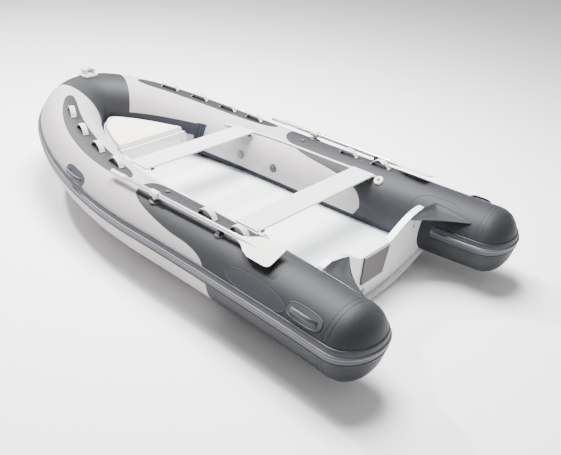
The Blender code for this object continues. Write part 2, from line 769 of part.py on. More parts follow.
def make_handle(name, station, degrees, side):
    """A moulded base patch with a raised grip."""
    place = tube_place(station, degrees, side, TUBE_GAP)
    half = HANDLE_LENGTH / 2
    base = plate("base", rounded_rectangle(0.036, half, 0.030), 0.007, place @ level(0.0035))
    apply_place(base)
    rise = 0.040
    points = [(0, -half + 0.035, 0.004), (0, -half + 0.045, rise * 0.6), (0, -half + 0.068, rise),
              (0, half - 0.068, rise), (0, half - 0.045, rise * 0.6), (0, half - 0.035, 0.004)]
    grip = poly_curve("grip_" + name, points, 0.010, 2)
    grip.matrix_world = place
    grip = as_cutter(apply_place(curve_to_mesh(grip)))
    boolean(base, grip, "UNION")
    boolean(base, CLEARANCE)
    keep(smooth(base), name, GREY_PLASTIC)


# ---- oars ---------------------------------------------------------------------------
def make_oar(word, side):
    x = side * OAR_X
    lock = Vector((x, OAR_LOCK_Y, OAR_Z))
    shaft = cylinder("shaft", (x, OAR_GRIP_END + 0.105, OAR_Z), (x, OAR_BLADE_START - 0.0005, OAR_Z),
                     OAR_SHAFT_RADIUS, 16)
    keep(smooth(shaft), "oar_shaft_" + word, ALLOY)

    start = OAR_GRIP_END + 0.1045
    profile = [(0, 0.0), (0.0155, 0.0), (0.0165, -0.01), (0.0155, -0.05), (0.0170, -0.093),
               (0.0180, -0.100), (0.013, -0.1045), (0, -0.1045)]
    place = Matrix.Translation((x, start, OAR_Z)) @ facing((0, 1, 0))
    keep(smooth(turned("grip", profile, place, 16)), "oar_grip_" + word, GREY_PLASTIC)

    collar = cylinder("collar", lock - Vector((0, 0.032, 0)), lock + Vector((0, 0.032, 0)), 0.021, 16)
    foot = cylinder("collar_foot_" + word, lock - Vector((0, 0, 0.0255)), lock, 0.017, 16)
    boolean(collar, as_cutter(foot), "UNION")
    bore = cylinder("collar_bore_" + word, lock - Vector((0, 0.05, 0)), lock + Vector((0, 0.05, 0)),
                    OAR_SHAFT_RADIUS + 0.0005, 16)
    boolean(collar, as_cutter(bore))
    keep(smooth(collar), "oar_collar_" + word, LIGHT_PLASTIC)

    length = OAR_BLADE_END - OAR_BLADE_START
    half = [(0.016, 0.0), (0.018, 0.05), (0.045, 0.09), (0.068, 0.14), (0.076, 0.20),
            (0.078, length - 0.02), (0.070, length - 0.004), (0.055, length)]
    outline = half + [(-a, b) for a, b in reversed(half)]
    place = Matrix.Translation((x, OAR_BLADE_START, OAR_Z)) @ Matrix.Rotation(side * OAR_ROLL, 4, "Y")
    blade = plate("blade", outline, 0.006, place)
    apply_place(blade)
    spine = cylinder("spine_" + word, (x, OAR_BLADE_START + 0.0002, OAR_Z),
                     (x, OAR_BLADE_END - 0.08, OAR_Z), 0.0155, 14, 0.003)
    boolean(blade, as_cutter(spine), "UNION")
    keep(smooth(blade, 30), "oar_blade_" + word, LIGHT_PLASTIC)


def make_oar_mounts(word, side):
    """Rubber base with its pin block under the collar, and the clip that holds the shaft."""
    degrees = 72
    foot_point = on_tube(OAR_LOCK_Y, degrees, side)[0]
    place = tube_place(OAR_LOCK_Y, degrees, side, TUBE_GAP)
    profile = [(0, 0.008), (0.030, 0.007), (0.044, 0.004), (0.048, 0.0), (0, 0.0)]
    base = turned("lock_base", profile, place, 24)
    post_top = OAR_Z - 0.0262
    post = cylinder("lock_post_" + word, (side * OAR_X, OAR_LOCK_Y, foot_point.z - 0.002),
                    (side * OAR_X, OAR_LOCK_Y, post_top), 0.016, 16)
    boolean(base, as_cutter(post), "UNION")
    boolean(base, CLEARANCE)
    keep(smooth(base), "oarlock_base_" + word, BLACK_PLASTIC)

    place = tube_place(OAR_CLIP_Y, degrees, side, TUBE_GAP)
    clip = turned("clip_base", [(0, 0.009), (0.026, 0.008), (0.034, 0.004), (0.036, 0.0), (0, 0.0)],
                  place, 20)
    clip_low = on_tube(OAR_CLIP_Y, degrees, side)[0].z
    cheek = box("clip_block_" + word, (side * OAR_X - 0.021, OAR_CLIP_Y - 0.012, clip_low),
                (side * OAR_X + 0.021, OAR_CLIP_Y + 0.012, OAR_Z + 0.007))
    boolean(clip, as_cutter(cheek), "UNION")
    bore = cylinder("clip_bore_" + word, (side * OAR_X, OAR_CLIP_Y - 0.05, OAR_Z),
                    (side * OAR_X, OAR_CLIP_Y + 0.05, OAR_Z), OAR_SHAFT_RADIUS + 0.0008, 16)
    mouth = box("clip_mouth_" + word,
                (side * OAR_X - 0.0125, OAR_CLIP_Y - 0.05, OAR_Z),
                (side * OAR_X + 0.0125, OAR_CLIP_Y + 0.05, OAR_Z + 0.03))
    swing_side = box("clip_way_" + word,
                     (side * OAR_X + (0 if side > 0 else -0.03), OAR_CLIP_Y - 0.05,
                      OAR_Z - OAR_SHAFT_RADIUS - 0.0008),
                     (side * OAR_X + (0.03 if side > 0 else 0), OAR_CLIP_Y + 0.05, OAR_Z + 0.03))
    boolean(clip, as_cutter(bore))
    boolean(clip, as_cutter(mouth))
    boolean(clip, as_cutter(swing_side))
    boolean(clip, CLEARANCE)
    keep(clip, "oar_clip_" + word, BLACK_PLASTIC)


# ---- bow roller and valves ----------------------------------------------------------
def make_fairlead():
    """Cast bow fairlead with two cheeks, and the roller between them."""
    top = on_tube(BOW_START - BOW_LENGTH + 0.0001, 90)[0].z
    y = BOW_START - BOW_LENGTH
    body = plate("fairlead", rounded_rectangle(0.062, 0.046, 0.020), 0.014,
                 Matrix.Translation((0, y, top + TUBE_GAP + 0.007)))
    apply_place(body)
    low = top + 0.008
    for sign in (1, -1):
        cheek = box("cheek_%d" % (sign + 1), (sign * 0.034 - 0.006, y - 0.034, low),
                    (sign * 0.034 + 0.006, y + 0.034, low + 0.044))
        boolean(body, as_cutter(cheek), "UNION")
    axle = cylinder("axle", (-0.036, y, low + 0.029), (0.036, y, low + 0.029), 0.004, 12)
    boolean(body, as_cutter(axle), "UNION")
    keep(body, "bow_fairlead", WHITE_GELCOAT)

    ring = [(0.0125, 0.0260), (0.0165, 0.0255), (0.0115, 0.0), (0.0165, -0.0255), (0.0125, -0.0260),
            (0.0045, -0.0260), (0.0045, 0.0260), (0.0125, 0.0260)]
    place = Matrix.Translation((0, y, low + 0.029)) @ facing((1, 0, 0))
    keep(smooth(turned("roller", ring, place, 20)), "bow_roller", GREY_PLASTIC)


def make_valve(word, side):
    place = tube_place(VALVE_STATION[word], 175, side, 0.0)
    profile = [(0, 0.006), (0.020, 0.006), (0.033, 0.0045), (0.034, TUBE_GAP), (0.0235, TUBE_GAP),
               (0.0225, -0.022), (0, -0.022)]
    keep(smooth(turned("valve", profile, place, 18)), "valve_body_" + word, GREY_PLASTIC)
    profile = [(0, 0.015), (0.005, 0.0155), (0.020, 0.014), (0.022, 0.012), (0.022, 0.0065),
               (0, 0.0065)]
    cap = turned("valve_cap", profile, place, 18)
    keep(smooth(cap), "valve_cap_" + word, LIGHT_PLASTIC)


def make_relief_valve():
    place = tube_place(0.035, 175, STARBOARD, 0.0)
    profile = [(0, 0.012), (0.012, 0.012), (0.014, 0.010), (0.016, 0.006), (0.030, 0.0045),
               (0.031, TUBE_GAP), (0, TUBE_GAP)]
    keep(smooth(turned("relief", profile, place, 18)), "relief_valve", GREY_PLASTIC)


# ---- build --------------------------------------------------------------------------
def build():
    make_hull()
    make_keel_guard()
    make_deck()
    make_transom()
    make_motor_pad()
    make_drain_plug()
    make_strake()
    make_locker()
    make_fairlead()
    make_relief_valve()
    for word in BENCHES:
        make_bench(word)
    for word, side in SIDES.items():
        make_tube(word, side)
        make_gusset(word, side)
        make_rail(word, side)
        make_oar(word, side)
        make_oar_mounts(word, side)
        make_valve(word, side)
        for number, station in enumerate(LOOP_STATIONS, 1):
            make_loop("grab_loop_%s_%d" % (word, number), station, side)
        for end, (station, degrees) in HANDLE_STATIONS.items():
            make_handle("carry_handle_%s_%s" % (word, end), station, degrees, side)


build()
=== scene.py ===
"""Looks of the inflatable dinghy: coated fabric tubes, strake, cushion, webbing, oars and fittings."""
import math

import bmesh
import bpy
import numpy as np
from mathutils import Matrix, Vector


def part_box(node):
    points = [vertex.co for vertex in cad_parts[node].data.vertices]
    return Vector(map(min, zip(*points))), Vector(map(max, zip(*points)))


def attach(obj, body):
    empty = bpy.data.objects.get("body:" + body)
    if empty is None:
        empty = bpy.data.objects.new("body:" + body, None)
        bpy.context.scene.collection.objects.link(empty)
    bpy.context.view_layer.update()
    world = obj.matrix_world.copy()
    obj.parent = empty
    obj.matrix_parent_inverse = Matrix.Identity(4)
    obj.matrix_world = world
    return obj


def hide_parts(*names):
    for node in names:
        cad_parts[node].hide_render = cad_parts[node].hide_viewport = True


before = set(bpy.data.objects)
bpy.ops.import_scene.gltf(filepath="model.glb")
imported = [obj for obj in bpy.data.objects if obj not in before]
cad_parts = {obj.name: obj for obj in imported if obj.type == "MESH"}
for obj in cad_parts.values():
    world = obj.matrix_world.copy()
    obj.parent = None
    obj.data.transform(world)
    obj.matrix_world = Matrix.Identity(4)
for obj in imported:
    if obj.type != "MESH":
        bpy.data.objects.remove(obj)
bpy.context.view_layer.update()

# ---- camera -------------------------------------------------------------------------
EYE = Vector((2.9135, 2.9301, 2.2995))
FORWARD = Vector((-0.67033, -0.55940, -0.48757)).normalized()
RIGHT = Vector((-0.66509, 0.74431, 0.06043))
RIGHT = (RIGHT - FORWARD * RIGHT.dot(FORWARD)).normalized()
UP = RIGHT.cross(FORWARD)
FOCAL_PIXELS, FRAME_WIDTH, SENSOR = 687.4, 561.0, 36.0


def make_camera():
    data = bpy.data.cameras.new("camera")
    data.sensor_fit = "HORIZONTAL"
    data.sensor_width = SENSOR
    data.lens = SENSOR * FOCAL_PIXELS / FRAME_WIDTH
    data.clip_end = 100
    camera = bpy.data.objects.new("camera", data)
    turn = Matrix((RIGHT, UP, -FORWARD)).transposed().to_4x4()
    turn.translation = EYE
    camera.matrix_world = turn
    bpy.context.scene.collection.objects.link(camera)
    bpy.context.scene.camera = camera


make_camera()


# ---- materials ----------------------------------------------------------------------
class Shader:
    """A small helper round one node tree."""

    def __init__(self, name):
        self.material = bpy.data.materials.new(name)
        self.material.use_nodes = True
        self.tree = self.material.node_tree
        self.bsdf = self.tree.nodes["Principled BSDF"]

    def node(self, kind, **settings):
        node = self.tree.nodes.new(kind)
        for key, value in settings.items():
            if key in node.inputs:
                node.inputs[key].default_value = value
            else:
                setattr(node, key, value)
        return node

    def link(self, source, target):
        self.tree.links.new(source, target)

    def put(self, **values):
        for key, value in values.items():
            self.bsdf.inputs[key.replace("_", " ")].default_value = value

    def position(self, scale=(1, 1, 1)):
        coordinates = self.node("ShaderNodeTexCoord")
        mapping = self.node("ShaderNodeMapping")
        mapping.inputs["Scale"].default_value = scale
        self.link(coordinates.outputs["Object"], mapping.inputs["Vector"])
        return mapping.outputs["Vector"]

    def noise(self, vector, scale, detail=3.0, rough=0.5):
        noise = self.node("ShaderNodeTexNoise")
        noise.inputs["Scale"].default_value = scale
        noise.inputs["Detail"].default_value = detail
        noise.inputs["Roughness"].default_value = rough
        self.link(vector, noise.inputs["Vector"])
        return noise.outputs["Fac"]

    def ramp(self, factor, stops):
        ramp = self.node("ShaderNodeValToRGB")
        elements = ramp.color_ramp.elements
        while len(elements) < len(stops):
            elements.new(0.5)
        for element, (place, colour) in zip(elements, stops):
            element.position = place
            element.color = (*colour, 1.0)
        self.link(factor, ramp.inputs["Fac"])
        return ramp.outputs["Color"]

    def map(self, value, low, high):
        scaled = self.node("ShaderNodeMapRange")
        scaled.inputs["To Min"].default_value = low
        scaled.inputs["To Max"].default_value = high
        self.link(value, scaled.inputs["Value"])
        return scaled.outputs["Result"]

    def bump(self, height, strength, distance):
        bump = self.node("ShaderNodeBump")
        bump.inputs["Strength"].default_value = strength
        bump.inputs["Distance"].default_value = distance
        self.link(height, bump.inputs["Height"])
        self.link(bump.outputs["Normal"], self.bsdf.inputs["Normal"])


def shade(colour, amount):
    return tuple(min(1.0, channel * amount) for channel in colour)


def plain(name, colour, rough, vary=0.06, grain=400.0, bump=0.15, metallic=0.0, sheen=0.0,
          coat=0.0, patch=5.0, stretch=(1, 1, 1)):
    """Colour that drifts a little, with a fine grain in the roughness and the bump."""
    s = Shader(name)
    place = s.position(stretch)
    drift = s.noise(place, patch, 3.0)
    s.link(s.ramp(drift, [(0.3, shade(colour, 1 - vary)), (0.7, shade(colour, 1 + vary))]),
           s.bsdf.inputs["Base Color"])
    fine = s.noise(place, grain, 2.0)
    s.link(s.map(fine, max(0.02, rough - 0.07), min(1.0, rough + 0.07)), s.bsdf.inputs["Roughness"])
    s.put(Metallic=metallic, Sheen_Weight=sheen, Coat_Weight=coat)
    s.bump(fine, bump, 0.0005)
    return s.material


FABRIC_SPECULAR = 0.22


def weave(name, colour, rough, thread, vary=0.05, strength=0.3, sheen=0.0, coat=0.0):
    """Coated cloth: the scrim's two thread directions show through the coating."""
    s = Shader(name)
    place = s.position()
    drift = s.noise(place, 3.5, 4.0)
    s.link(s.ramp(drift, [(0.3, shade(colour, 1 - vary)), (0.7, shade(colour, 1 + vary))]),
           s.bsdf.inputs["Base Color"])
    coords = s.node("ShaderNodeTexCoord")
    waves = []
    for axis in ("X", "Y"):
        wave = s.node("ShaderNodeTexWave")
        wave.bands_direction = axis
        wave.inputs["Scale"].default_value = thread
        wave.inputs["Distortion"].default_value = 0.4
        s.link(coords.outputs["UV"], wave.inputs["Vector"])
        waves.append(wave.outputs["Fac"])
    both = s.node("ShaderNodeMath", operation="MULTIPLY")
    s.link(waves[0], both.inputs[0])
    s.link(waves[1], both.inputs[1])
    fine = s.noise(place, 260.0, 2.0)
    s.link(s.map(fine, rough - 0.06, rough + 0.06), s.bsdf.inputs["Roughness"])
    s.put(Sheen_Weight=sheen, Coat_Weight=coat, Specular_IOR_Level=FABRIC_SPECULAR)
    s.bump(both.outputs[0], strength, 0.0004)
    return s.material


def ribbed(name, colour, rough, ribs):
    """Moulded rubber with fine level ribs; the colour is painted darker in the grooves and lighter on
    the ridges, as shade and highlight.
    """
    s = Shader(name)
    place = s.position()
    wave = s.node("ShaderNodeTexWave")
    wave.bands_direction = "Z"
    wave.inputs["Scale"].default_value = ribs
    s.link(place, wave.inputs["Vector"])
    # painted shade in the rib grooves and painted highlight on the ridges: the colour follows the rib
    # height
    s.link(s.ramp(wave.outputs["Fac"], [(0.2, shade(colour, 0.8)), (0.8, shade(colour, 1.2))]),
           s.bsdf.inputs["Base Color"])
    s.put(Roughness=rough)
    s.bump(wave.outputs["Fac"], 0.5, 0.001)
    return s.material


def diamonds(name, colour, rough):
    """Gelcoat with a moulded anti-slip lattice."""
    s = Shader(name)
    lines = []
    for degrees in (31, -31):
        coordinates = s.node("ShaderNodeTexCoord")
        mapping = s.node("ShaderNodeMapping")
        mapping.inputs["Rotation"].default_value = (0, 0, math.radians(degrees))
        s.link(coordinates.outputs["Object"], mapping.inputs["Vector"])
        wave = s.node("ShaderNodeTexWave")
        wave.bands_direction = "X"
        wave.inputs["Scale"].default_value = 9.0
        s.link(mapping.outputs["Vector"], wave.inputs["Vector"])
        lines.append(wave.outputs["Fac"])
    both = s.node("ShaderNodeMath", operation="MAXIMUM")
    s.link(lines[0], both.inputs[0])
    s.link(lines[1], both.inputs[1])
    s.link(s.ramp(both.outputs[0], [(0.80, colour), (0.97, shade(colour, 0.93))]),
           s.bsdf.inputs["Base Color"])
    fine = s.noise(s.position(), 240.0, 2.0)
    s.link(s.map(fine, rough - 0.06, rough + 0.06), s.bsdf.inputs["Roughness"])
    s.bump(both.outputs[0], 0.35, 0.0012)
    return s.material


LIGHT = (0.42, 0.39, 0.385)
DARK = (0.024, 0.025, 0.029)
THREAD = 300.0
MATERIALS = {
    "light": weave("light_fabric", LIGHT, 0.5, THREAD),
    "dark": weave("dark_fabric", DARK, 0.52, THREAD),
    "flange": weave("flange_fabric", (0.022, 0.025, 0.034), 0.6, THREAD),
    "strake": plain("strake_rubber", (0.040, 0.040, 0.050), 0.5, grain=300),
    # the strake bead is real raised rubber; its colour is painted about twice as light as the strake
    # rubber, as the highlight along its crown
    "bead": plain("bead_rubber_painted_highlight", (0.085, 0.088, 0.105), 0.42, grain=300),
    "line": plain("black_trim", (0.008, 0.009, 0.02), 0.4, grain=300),
    "gelcoat": plain("gelcoat", (0.84, 0.85, 0.86), 0.28, vary=0.015, grain=90, bump=0.02,
                     coat=0.4),
    "pad": ribbed("pad_rubber", (0.125, 0.112, 0.122), 0.55, 160.0),
    "gelcoat_part": plain("gelcoat_part", (0.72, 0.73, 0.74), 0.35, vary=0.02, grain=200, bump=0.03),
    # the pad rubber's colour at about twice the brightness: painted highlight for the pad's top edge
    "pad_painted_highlight": plain("pad_painted_highlight", (0.24, 0.215, 0.22), 0.5),
    "deck": diamonds("deck_gelcoat", (0.82, 0.84, 0.86), 0.35),
    "vinyl": plain("cushion_vinyl", (0.80, 0.755, 0.70), 0.55, vary=0.03, grain=500, bump=0.25,
                   sheen=0.1),
    "bench": plain("bench_paint", (0.60, 0.635, 0.60), 0.42, vary=0.03, grain=500, bump=0.05),
    "plastic": plain("light_plastic", (0.66, 0.64, 0.60), 0.42, vary=0.03),
    "cream": plain("cream_plastic", (0.68, 0.64, 0.59), 0.5, vary=0.03),
    "badge": weave("badge_fabric", (0.030, 0.032, 0.037), 0.5, THREAD),
    "badge_rim": plain("badge_rim", (0.05, 0.052, 0.056), 0.45),
    "handle": plain("handle_rubber", (0.050, 0.054, 0.066), 0.5),
    "dark_plastic": plain("dark_rubber", (0.036, 0.039, 0.043), 0.5),
    "brown": plain("brown_trim", (0.16, 0.135, 0.13), 0.5),
    "grey": plain("grey_plastic", (0.10, 0.11, 0.125), 0.45),
    "mid": plain("mid_grey_plastic", (0.17, 0.18, 0.20), 0.45),
    "black": plain("black_plastic", (0.02, 0.021, 0.024), 0.4),
    "webbing": weave("webbing", (0.62, 0.595, 0.54), 0.8, 400.0, strength=0.8),
    "alloy": plain("anodised_alloy", (0.72, 0.72, 0.73), 0.28, metallic=1.0, grain=900,
                   stretch=(1, 0.03, 1)),
    "steel": plain("stainless", (0.62, 0.61, 0.60), 0.2, metallic=1.0, grain=600),
}


# ---- the tube as a surface ----------------------------------------------------------
RADIUS, STERN_RADIUS, TAPER_START = 0.215, 0.204, 0.92
HEIGHT = 0.285
MID, FLARE = 0.640, 0.060
BOW_START, BOW_LENGTH, BOW_RISE = 0.104, 1.606, 0.17
STERN, CAP = 1.566, 0.151
STEP = 0.004


def centre_line():
    """Evenly spaced tube centres from the stem to the stern, along the port side."""
    points = []
    for step in range(401):
        turn = math.pi / 2 * (1 - step / 400)
        points.append((MID * math.cos(turn), BOW_START - BOW_LENGTH * math.sin(turn),
                       HEIGHT + BOW_RISE * math.sin(turn) ** 2))
    for step in range(1, 201):
        along = step / 200
        points.append((MID + FLARE * along ** 2, BOW_START + (STERN - BOW_START) * along, HEIGHT))
    points = np.array(points)
    lengths = np.concatenate([[0.0], np.cumsum(np.linalg.norm(np.diff(points, axis=0), axis=1))])
    wanted = np.arange(0.0, lengths[-1] + STEP, STEP)
    even = np.stack([np.interp(wanted, lengths, points[:, axis]) for axis in range(3)], axis=1)
    return float(lengths[-1]), even


LAST, CENTRES = centre_line()
AFT = np.gradient(CENTRES, axis=0)
AFT[0] = (1, 0, 0)
AFT[-2:] = AFT[-3]
AFT /= np.linalg.norm(AFT, axis=1)[:, None]
OUTBOARD = np.cross(AFT, (0, 0, 1))
OUTBOARD /= np.linalg.norm(OUTBOARD, axis=1)[:, None]
UPWARD = np.cross(OUTBOARD, AFT)
TAPER = np.clip((CENTRES[:, 1] - TAPER_START) / (STERN - TAPER_START), 0, 1)
RADII = RADIUS + (STERN_RADIUS - RADIUS) * TAPER
CAP_RUN = 0.5 * (STERN_RADIUS + CAP) * math.pi / 2


def blend_row(table, s):
    place = min(max(s, 0.0), LAST) / STEP
    row = min(int(place), len(table) - 2)
    share = place - row
    return table[row] * (1 - share) + table[row + 1] * share


def length_at(y):
    """Arc length from the stem at station y."""
    return float(np.interp(y, CENTRES[:, 1], np.arange(len(CENTRES)) * STEP))


def surface(s, degrees, stand=0.0):
    """Point and outward normal on the tube at arc length s; 0 degrees is outboard, 90 the top.

    Negative s is the starboard side, and s past LAST runs over the end cap."""
    reach = abs(s)
    centre, aft = blend_row(CENTRES, reach), blend_row(AFT, reach)
    radius = float(blend_row(RADII, reach))
    angle = math.radians(degrees)
    around = blend_row(OUTBOARD, reach) * math.cos(angle) + blend_row(UPWARD, reach) * math.sin(angle)
    if reach <= LAST:
        point, normal = centre + around * radius, around
    else:
        turn = min(1.0, (reach - LAST) / CAP_RUN) * math.pi / 2
        normal = around * math.cos(turn) * CAP + aft * math.sin(turn) * radius
        point = centre + around * radius * math.cos(turn) + aft * CAP * math.sin(turn)
    normal = normal / np.linalg.norm(normal)
    point = point + normal * stand
    side = 1 if s >= 0 else -1
    return Vector((side * point[0], point[1], point[2])), Vector((side * normal[0], *normal[1:]))


def level_angle(s, z):
    """Degrees at which the tube's inner side is at height z."""
    reach = abs(s)
    rise = (z - blend_row(CENTRES, reach)[2]) / float(blend_row(RADII, reach))
    return 180 - math.degrees(math.asin(max(-1.0, min(1.0, rise))))


def link_object(name, mesh):
    obj = bpy.data.objects.new(name, mesh)
    bpy.context.scene.collection.objects.link(obj)
    return obj


def dress(obj, material, body="boat", replaces=()):
    obj.data.materials.clear()
    obj.data.materials.append(MATERIALS[material])
    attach(obj, body)
    if replaces:
        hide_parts(*replaces)
    return obj


def tube_skin(name, side, nodes):
    """The inflated skin from the stem to the end cap's tip."""
    stations = list(np.linspace(0, LAST, 170)) + [LAST + CAP_RUN * step / 16 for step in range(1, 16)]
    around = 72
    bm = bmesh.new()
    uv = bm.loops.layers.uv.new("uv")
    rows = []
    for s in stations:
        rows.append([bm.verts.new(surface(side * max(s, 0.0001), 360.0 * k / around)[0])
                     for k in range(around)])
    for row, (first, second) in enumerate(zip(rows, rows[1:])):
        for k in range(around):
            after = (k + 1) % around
            face = bm.faces.new((first[k], first[after], second[after], second[k]))
            for loop, (a, b) in zip(face.loops, ((row, k), (row, k + 1), (row + 1, k + 1),
                                                (row + 1, k))):
                loop[uv].uv = (stations[a], b / around * 2 * math.pi * RADIUS)
    tip = bm.verts.new(surface(side * (LAST + CAP_RUN), 0)[0])
    for k in range(around):
        bm.faces.new((rows[-1][k], rows[-1][(k + 1) % around], tip))
    bm.faces.new(rows[0])
    bmesh.ops.recalc_face_normals(bm, faces=bm.faces)
    mesh = bpy.data.meshes.new(name)
    bm.to_mesh(mesh)
    bm.free()
    mesh.shade_smooth()
    mesh.set_sharp_from_angle(angle=math.radians(60))
    return dress(link_object(name, mesh), "light", replaces=nodes)


def smooth_outline(points, per_span=10, closed=True):
    """Catmull-Rom curve through (s, degrees) points."""
    pts = [Vector(p) for p in points]
    count = len(pts)
    out = []
    for i in range(count if closed else count - 1):
        if closed:
            p0, p1, p2, p3 = (pts[(i + k) % count] for k in (-1, 0, 1, 2))
        else:
            p0, p1, p2, p3 = (pts[min(max(i + k, 0), count - 1)] for k in (-1, 0, 1, 2))
        for step in range(per_span):
            t = step / per_span
            out.append(0.5 * ((2 * p1) + (p2 - p0) * t + (2 * p0 - 5 * p1 + 4 * p2 - p3) * t ** 2
                              + (3 * p1 - p0 - 3 * p2 + p3) * t ** 3))
    if not closed:
        out.append(pts[-1])
    return [(p.x, p.y) for p in out]


ARC = math.radians(1) * RADIUS


def facing_in(bm):
    """Whether the largest face points at the tube's centre line."""
    sample = max(bm.faces, key=lambda f: f.calc_area())
    centre = sample.calc_center_median()
    spine = CENTRES * np.array([1 if centre.x >= 0 else -1, 1, 1])
    nearest = spine[np.argmin(np.linalg.norm(spine - np.array(centre), axis=1))]
    return sample.normal.dot(centre - Vector(nearest)) < 0


def patch(name, outline, material, side=1, stand=0.0009, slot=None, body="boat", grid=0.022,
          rim=0.0009):
    """A sheet bonded to the tube: a flat outline in (s, degrees), cut fine and wrapped round."""
    bm = bmesh.new()
    verts = [bm.verts.new((s, degrees * ARC, 0)) for s, degrees in outline]
    bm.faces.new(verts)
    bmesh.ops.triangulate(bm, faces=bm.faces[:])
    for axis in (0, 1):
        values = [v.co[axis] for v in bm.verts]
        cut = math.floor(min(values) / grid) * grid + grid
        normal = Vector((1, 0, 0)) if axis == 0 else Vector((0, 1, 0))
        while cut < max(values):
            bmesh.ops.bisect_plane(bm, geom=bm.verts[:] + bm.edges[:] + bm.faces[:],
                                   dist=1e-6, plane_co=normal * cut, plane_no=normal)
            cut += grid
    bmesh.ops.remove_doubles(bm, verts=bm.verts, dist=1e-5)
    uv = bm.loops.layers.uv.new("uv")
    for face in bm.faces:
        for loop in face.loops:
            loop[uv].uv = (loop.vert.co.x, loop.vert.co.y)
    border = [edge for edge in bm.edges if edge.is_boundary]
    skirt = bmesh.ops.extrude_edge_only(bm, edges=border)
    lowered = {v for v in skirt["geom"] if isinstance(v, bmesh.types.BMVert)}
    for vert in bm.verts:
        s, degrees = side * vert.co.x, vert.co.y / ARC
        drop = -0.0006 - rim if vert in lowered else 0.0
        vert.co = surface(s, degrees, stand + drop)[0]
    bmesh.ops.recalc_face_normals(bm, faces=bm.faces)
    if facing_in(bm):
        bmesh.ops.reverse_faces(bm, faces=bm.faces)
    mesh = bpy.data.meshes.new(name)
    bm.to_mesh(mesh)
    bm.free()
    mesh.shade_smooth()
    mesh.set_sharp_from_angle(angle=math.radians(50))
    return dress(link_object(name, mesh), material, body=body)


def at(*pairs):
    """(station, degrees) pairs, stations in metres along the boat, to arc lengths."""
    return [(length_at(y), degrees) for y, degrees in pairs]


SIDES = {"port": 1, "starboard": -1}
for word, side in SIDES.items():
    tube_skin("tube_skin_" + word, side, ["tube_" + word])

def sweep(name, line, profile, material, body="boat", closed=False, replaces=()):
    """A bead of constant section along (point, normal) pairs; profile is (across, out)."""
    bm = bmesh.new()
    uv = bm.loops.layers.uv.new("uv")
    count, size = len(line), len(profile)
    rings = []
    for index, (point, normal) in enumerate(line):
        before = line[(index - 1) % count if closed else max(index - 1, 0)][0]
        after = line[(index + 1) % count if closed else min(index + 1, count - 1)][0]
        across = normal.cross(after - before).normalized()
        rings.append([bm.verts.new(point + across * a + normal * out) for a, out in profile])
    run = 0.0
    spans = count if closed else count - 1
    for index in range(spans):
        first, second = rings[index], rings[(index + 1) % count]
        step = (line[(index + 1) % count][0] - line[index][0]).length
        for k in range(size):
            after = (k + 1) % size
            face = bm.faces.new((first[k], second[k], second[after], first[after]))
            for loop, where in zip(face.loops, ((run, k), (run + step, k), (run + step, k + 1),
                                                (run, k + 1))):
                loop[uv].uv = (where[0], where[1] * 0.01)
        run += step
    if not closed:
        bm.faces.new(list(reversed(rings[0])))
        bm.faces.new(rings[-1])
    bmesh.ops.recalc_face_normals(bm, faces=bm.faces)
    mesh = bpy.data.meshes.new(name)
    bm.to_mesh(mesh)
    bm.free()
    mesh.shade_smooth()
    mesh.set_sharp_from_angle(angle=math.radians(45))
    return dress(link_object(name, mesh), material, body=body, replaces=replaces)


def strip_profile(half, height, sink=0.0015):
    return [(-half, -sink), (-half, height * 0.4), (-half * 0.8, height), (half * 0.8, height),
            (half, height * 0.4), (half, -sink)]


def round_profile(half, height, sink=0.003, count=7):
    arch = [(-half * math.cos(math.pi * k / (count - 1)), height * math.sin(math.pi * k / (count - 1)))
            for k in range(count)]
    return [(-half, -sink)] + arch + [(half, -sink)]


def tube_line(pairs, side=1, per_span=12, closed=False, stand=0.0):
    return [surface(side * s, degrees, stand)
            for s, degrees in smooth_outline(pairs, per_span, closed)]


# ---- fabric panels ------------------------------------------------------------------
LOOP_PANEL = at((-1.325, 90), (-1.315, 99), (-1.24, 104.5), (-1.13, 105), (-0.944, 104.5),
                (-0.723, 104), (-0.50, 103), (-0.31, 100), (-0.20, 95), (-0.148, 86), (-0.17, 77),
                (-0.267, 71), (-0.48, 67), (-0.686, 66), (-0.928, 68), (-1.099, 73), (-1.22, 79),
                (-1.295, 84))
AFT_EDGE = at((0.771, -180), (0.755, -172), (0.72, -158), (0.68, -143), (0.66, -120), (0.70, -90),
              (0.74, -50), (0.748, -10), (0.735, 8), (0.700, 21), (0.64, 30), (0.54, 35.5),
              (0.39, 38), (0.24, 44), (0.10, 52.5), (0.015, 62), (-0.022, 75), (-0.024, 88),
              (-0.010, 101), (0.030, 111), (0.095, 117), (0.18, 125), (0.30, 131), (0.45, 135.5),
              (0.56, 140), (0.65, 146), (0.72, 155), (0.76, 167), (0.771, 180))
for word, side in SIDES.items():
    patch("loop_panel_" + word, smooth_outline(LOOP_PANEL), "dark", side, slot="dark_tube_fabric")
    TAIL = LAST + CAP_RUN * 0.985
    patch("aft_skin_" + word, smooth_outline(AFT_EDGE, 10, closed=False) + [(TAIL, 180.0),
                                                                          (TAIL, -180.0)],
          "dark", side, slot="dark_tube_fabric")


def bow_edge(side, near, spread_in, count=49):
    """Seam round the tube beside the stem, further from it where the tube turns inward."""
    edge = []
    for k in range(count):
        degrees = -180 + 360 * k / (count - 1)
        inward = (1 - math.cos(math.radians(degrees))) / 2
        edge.append((side * (near + spread_in * inward ** 1.5), degrees))
    return edge


patch("bow_panel", bow_edge(1, 0.13, 0.25) + list(reversed(bow_edge(-1, 0.165, 0.20))), "dark", 1,
      slot="dark_tube_fabric", grid=0.016)

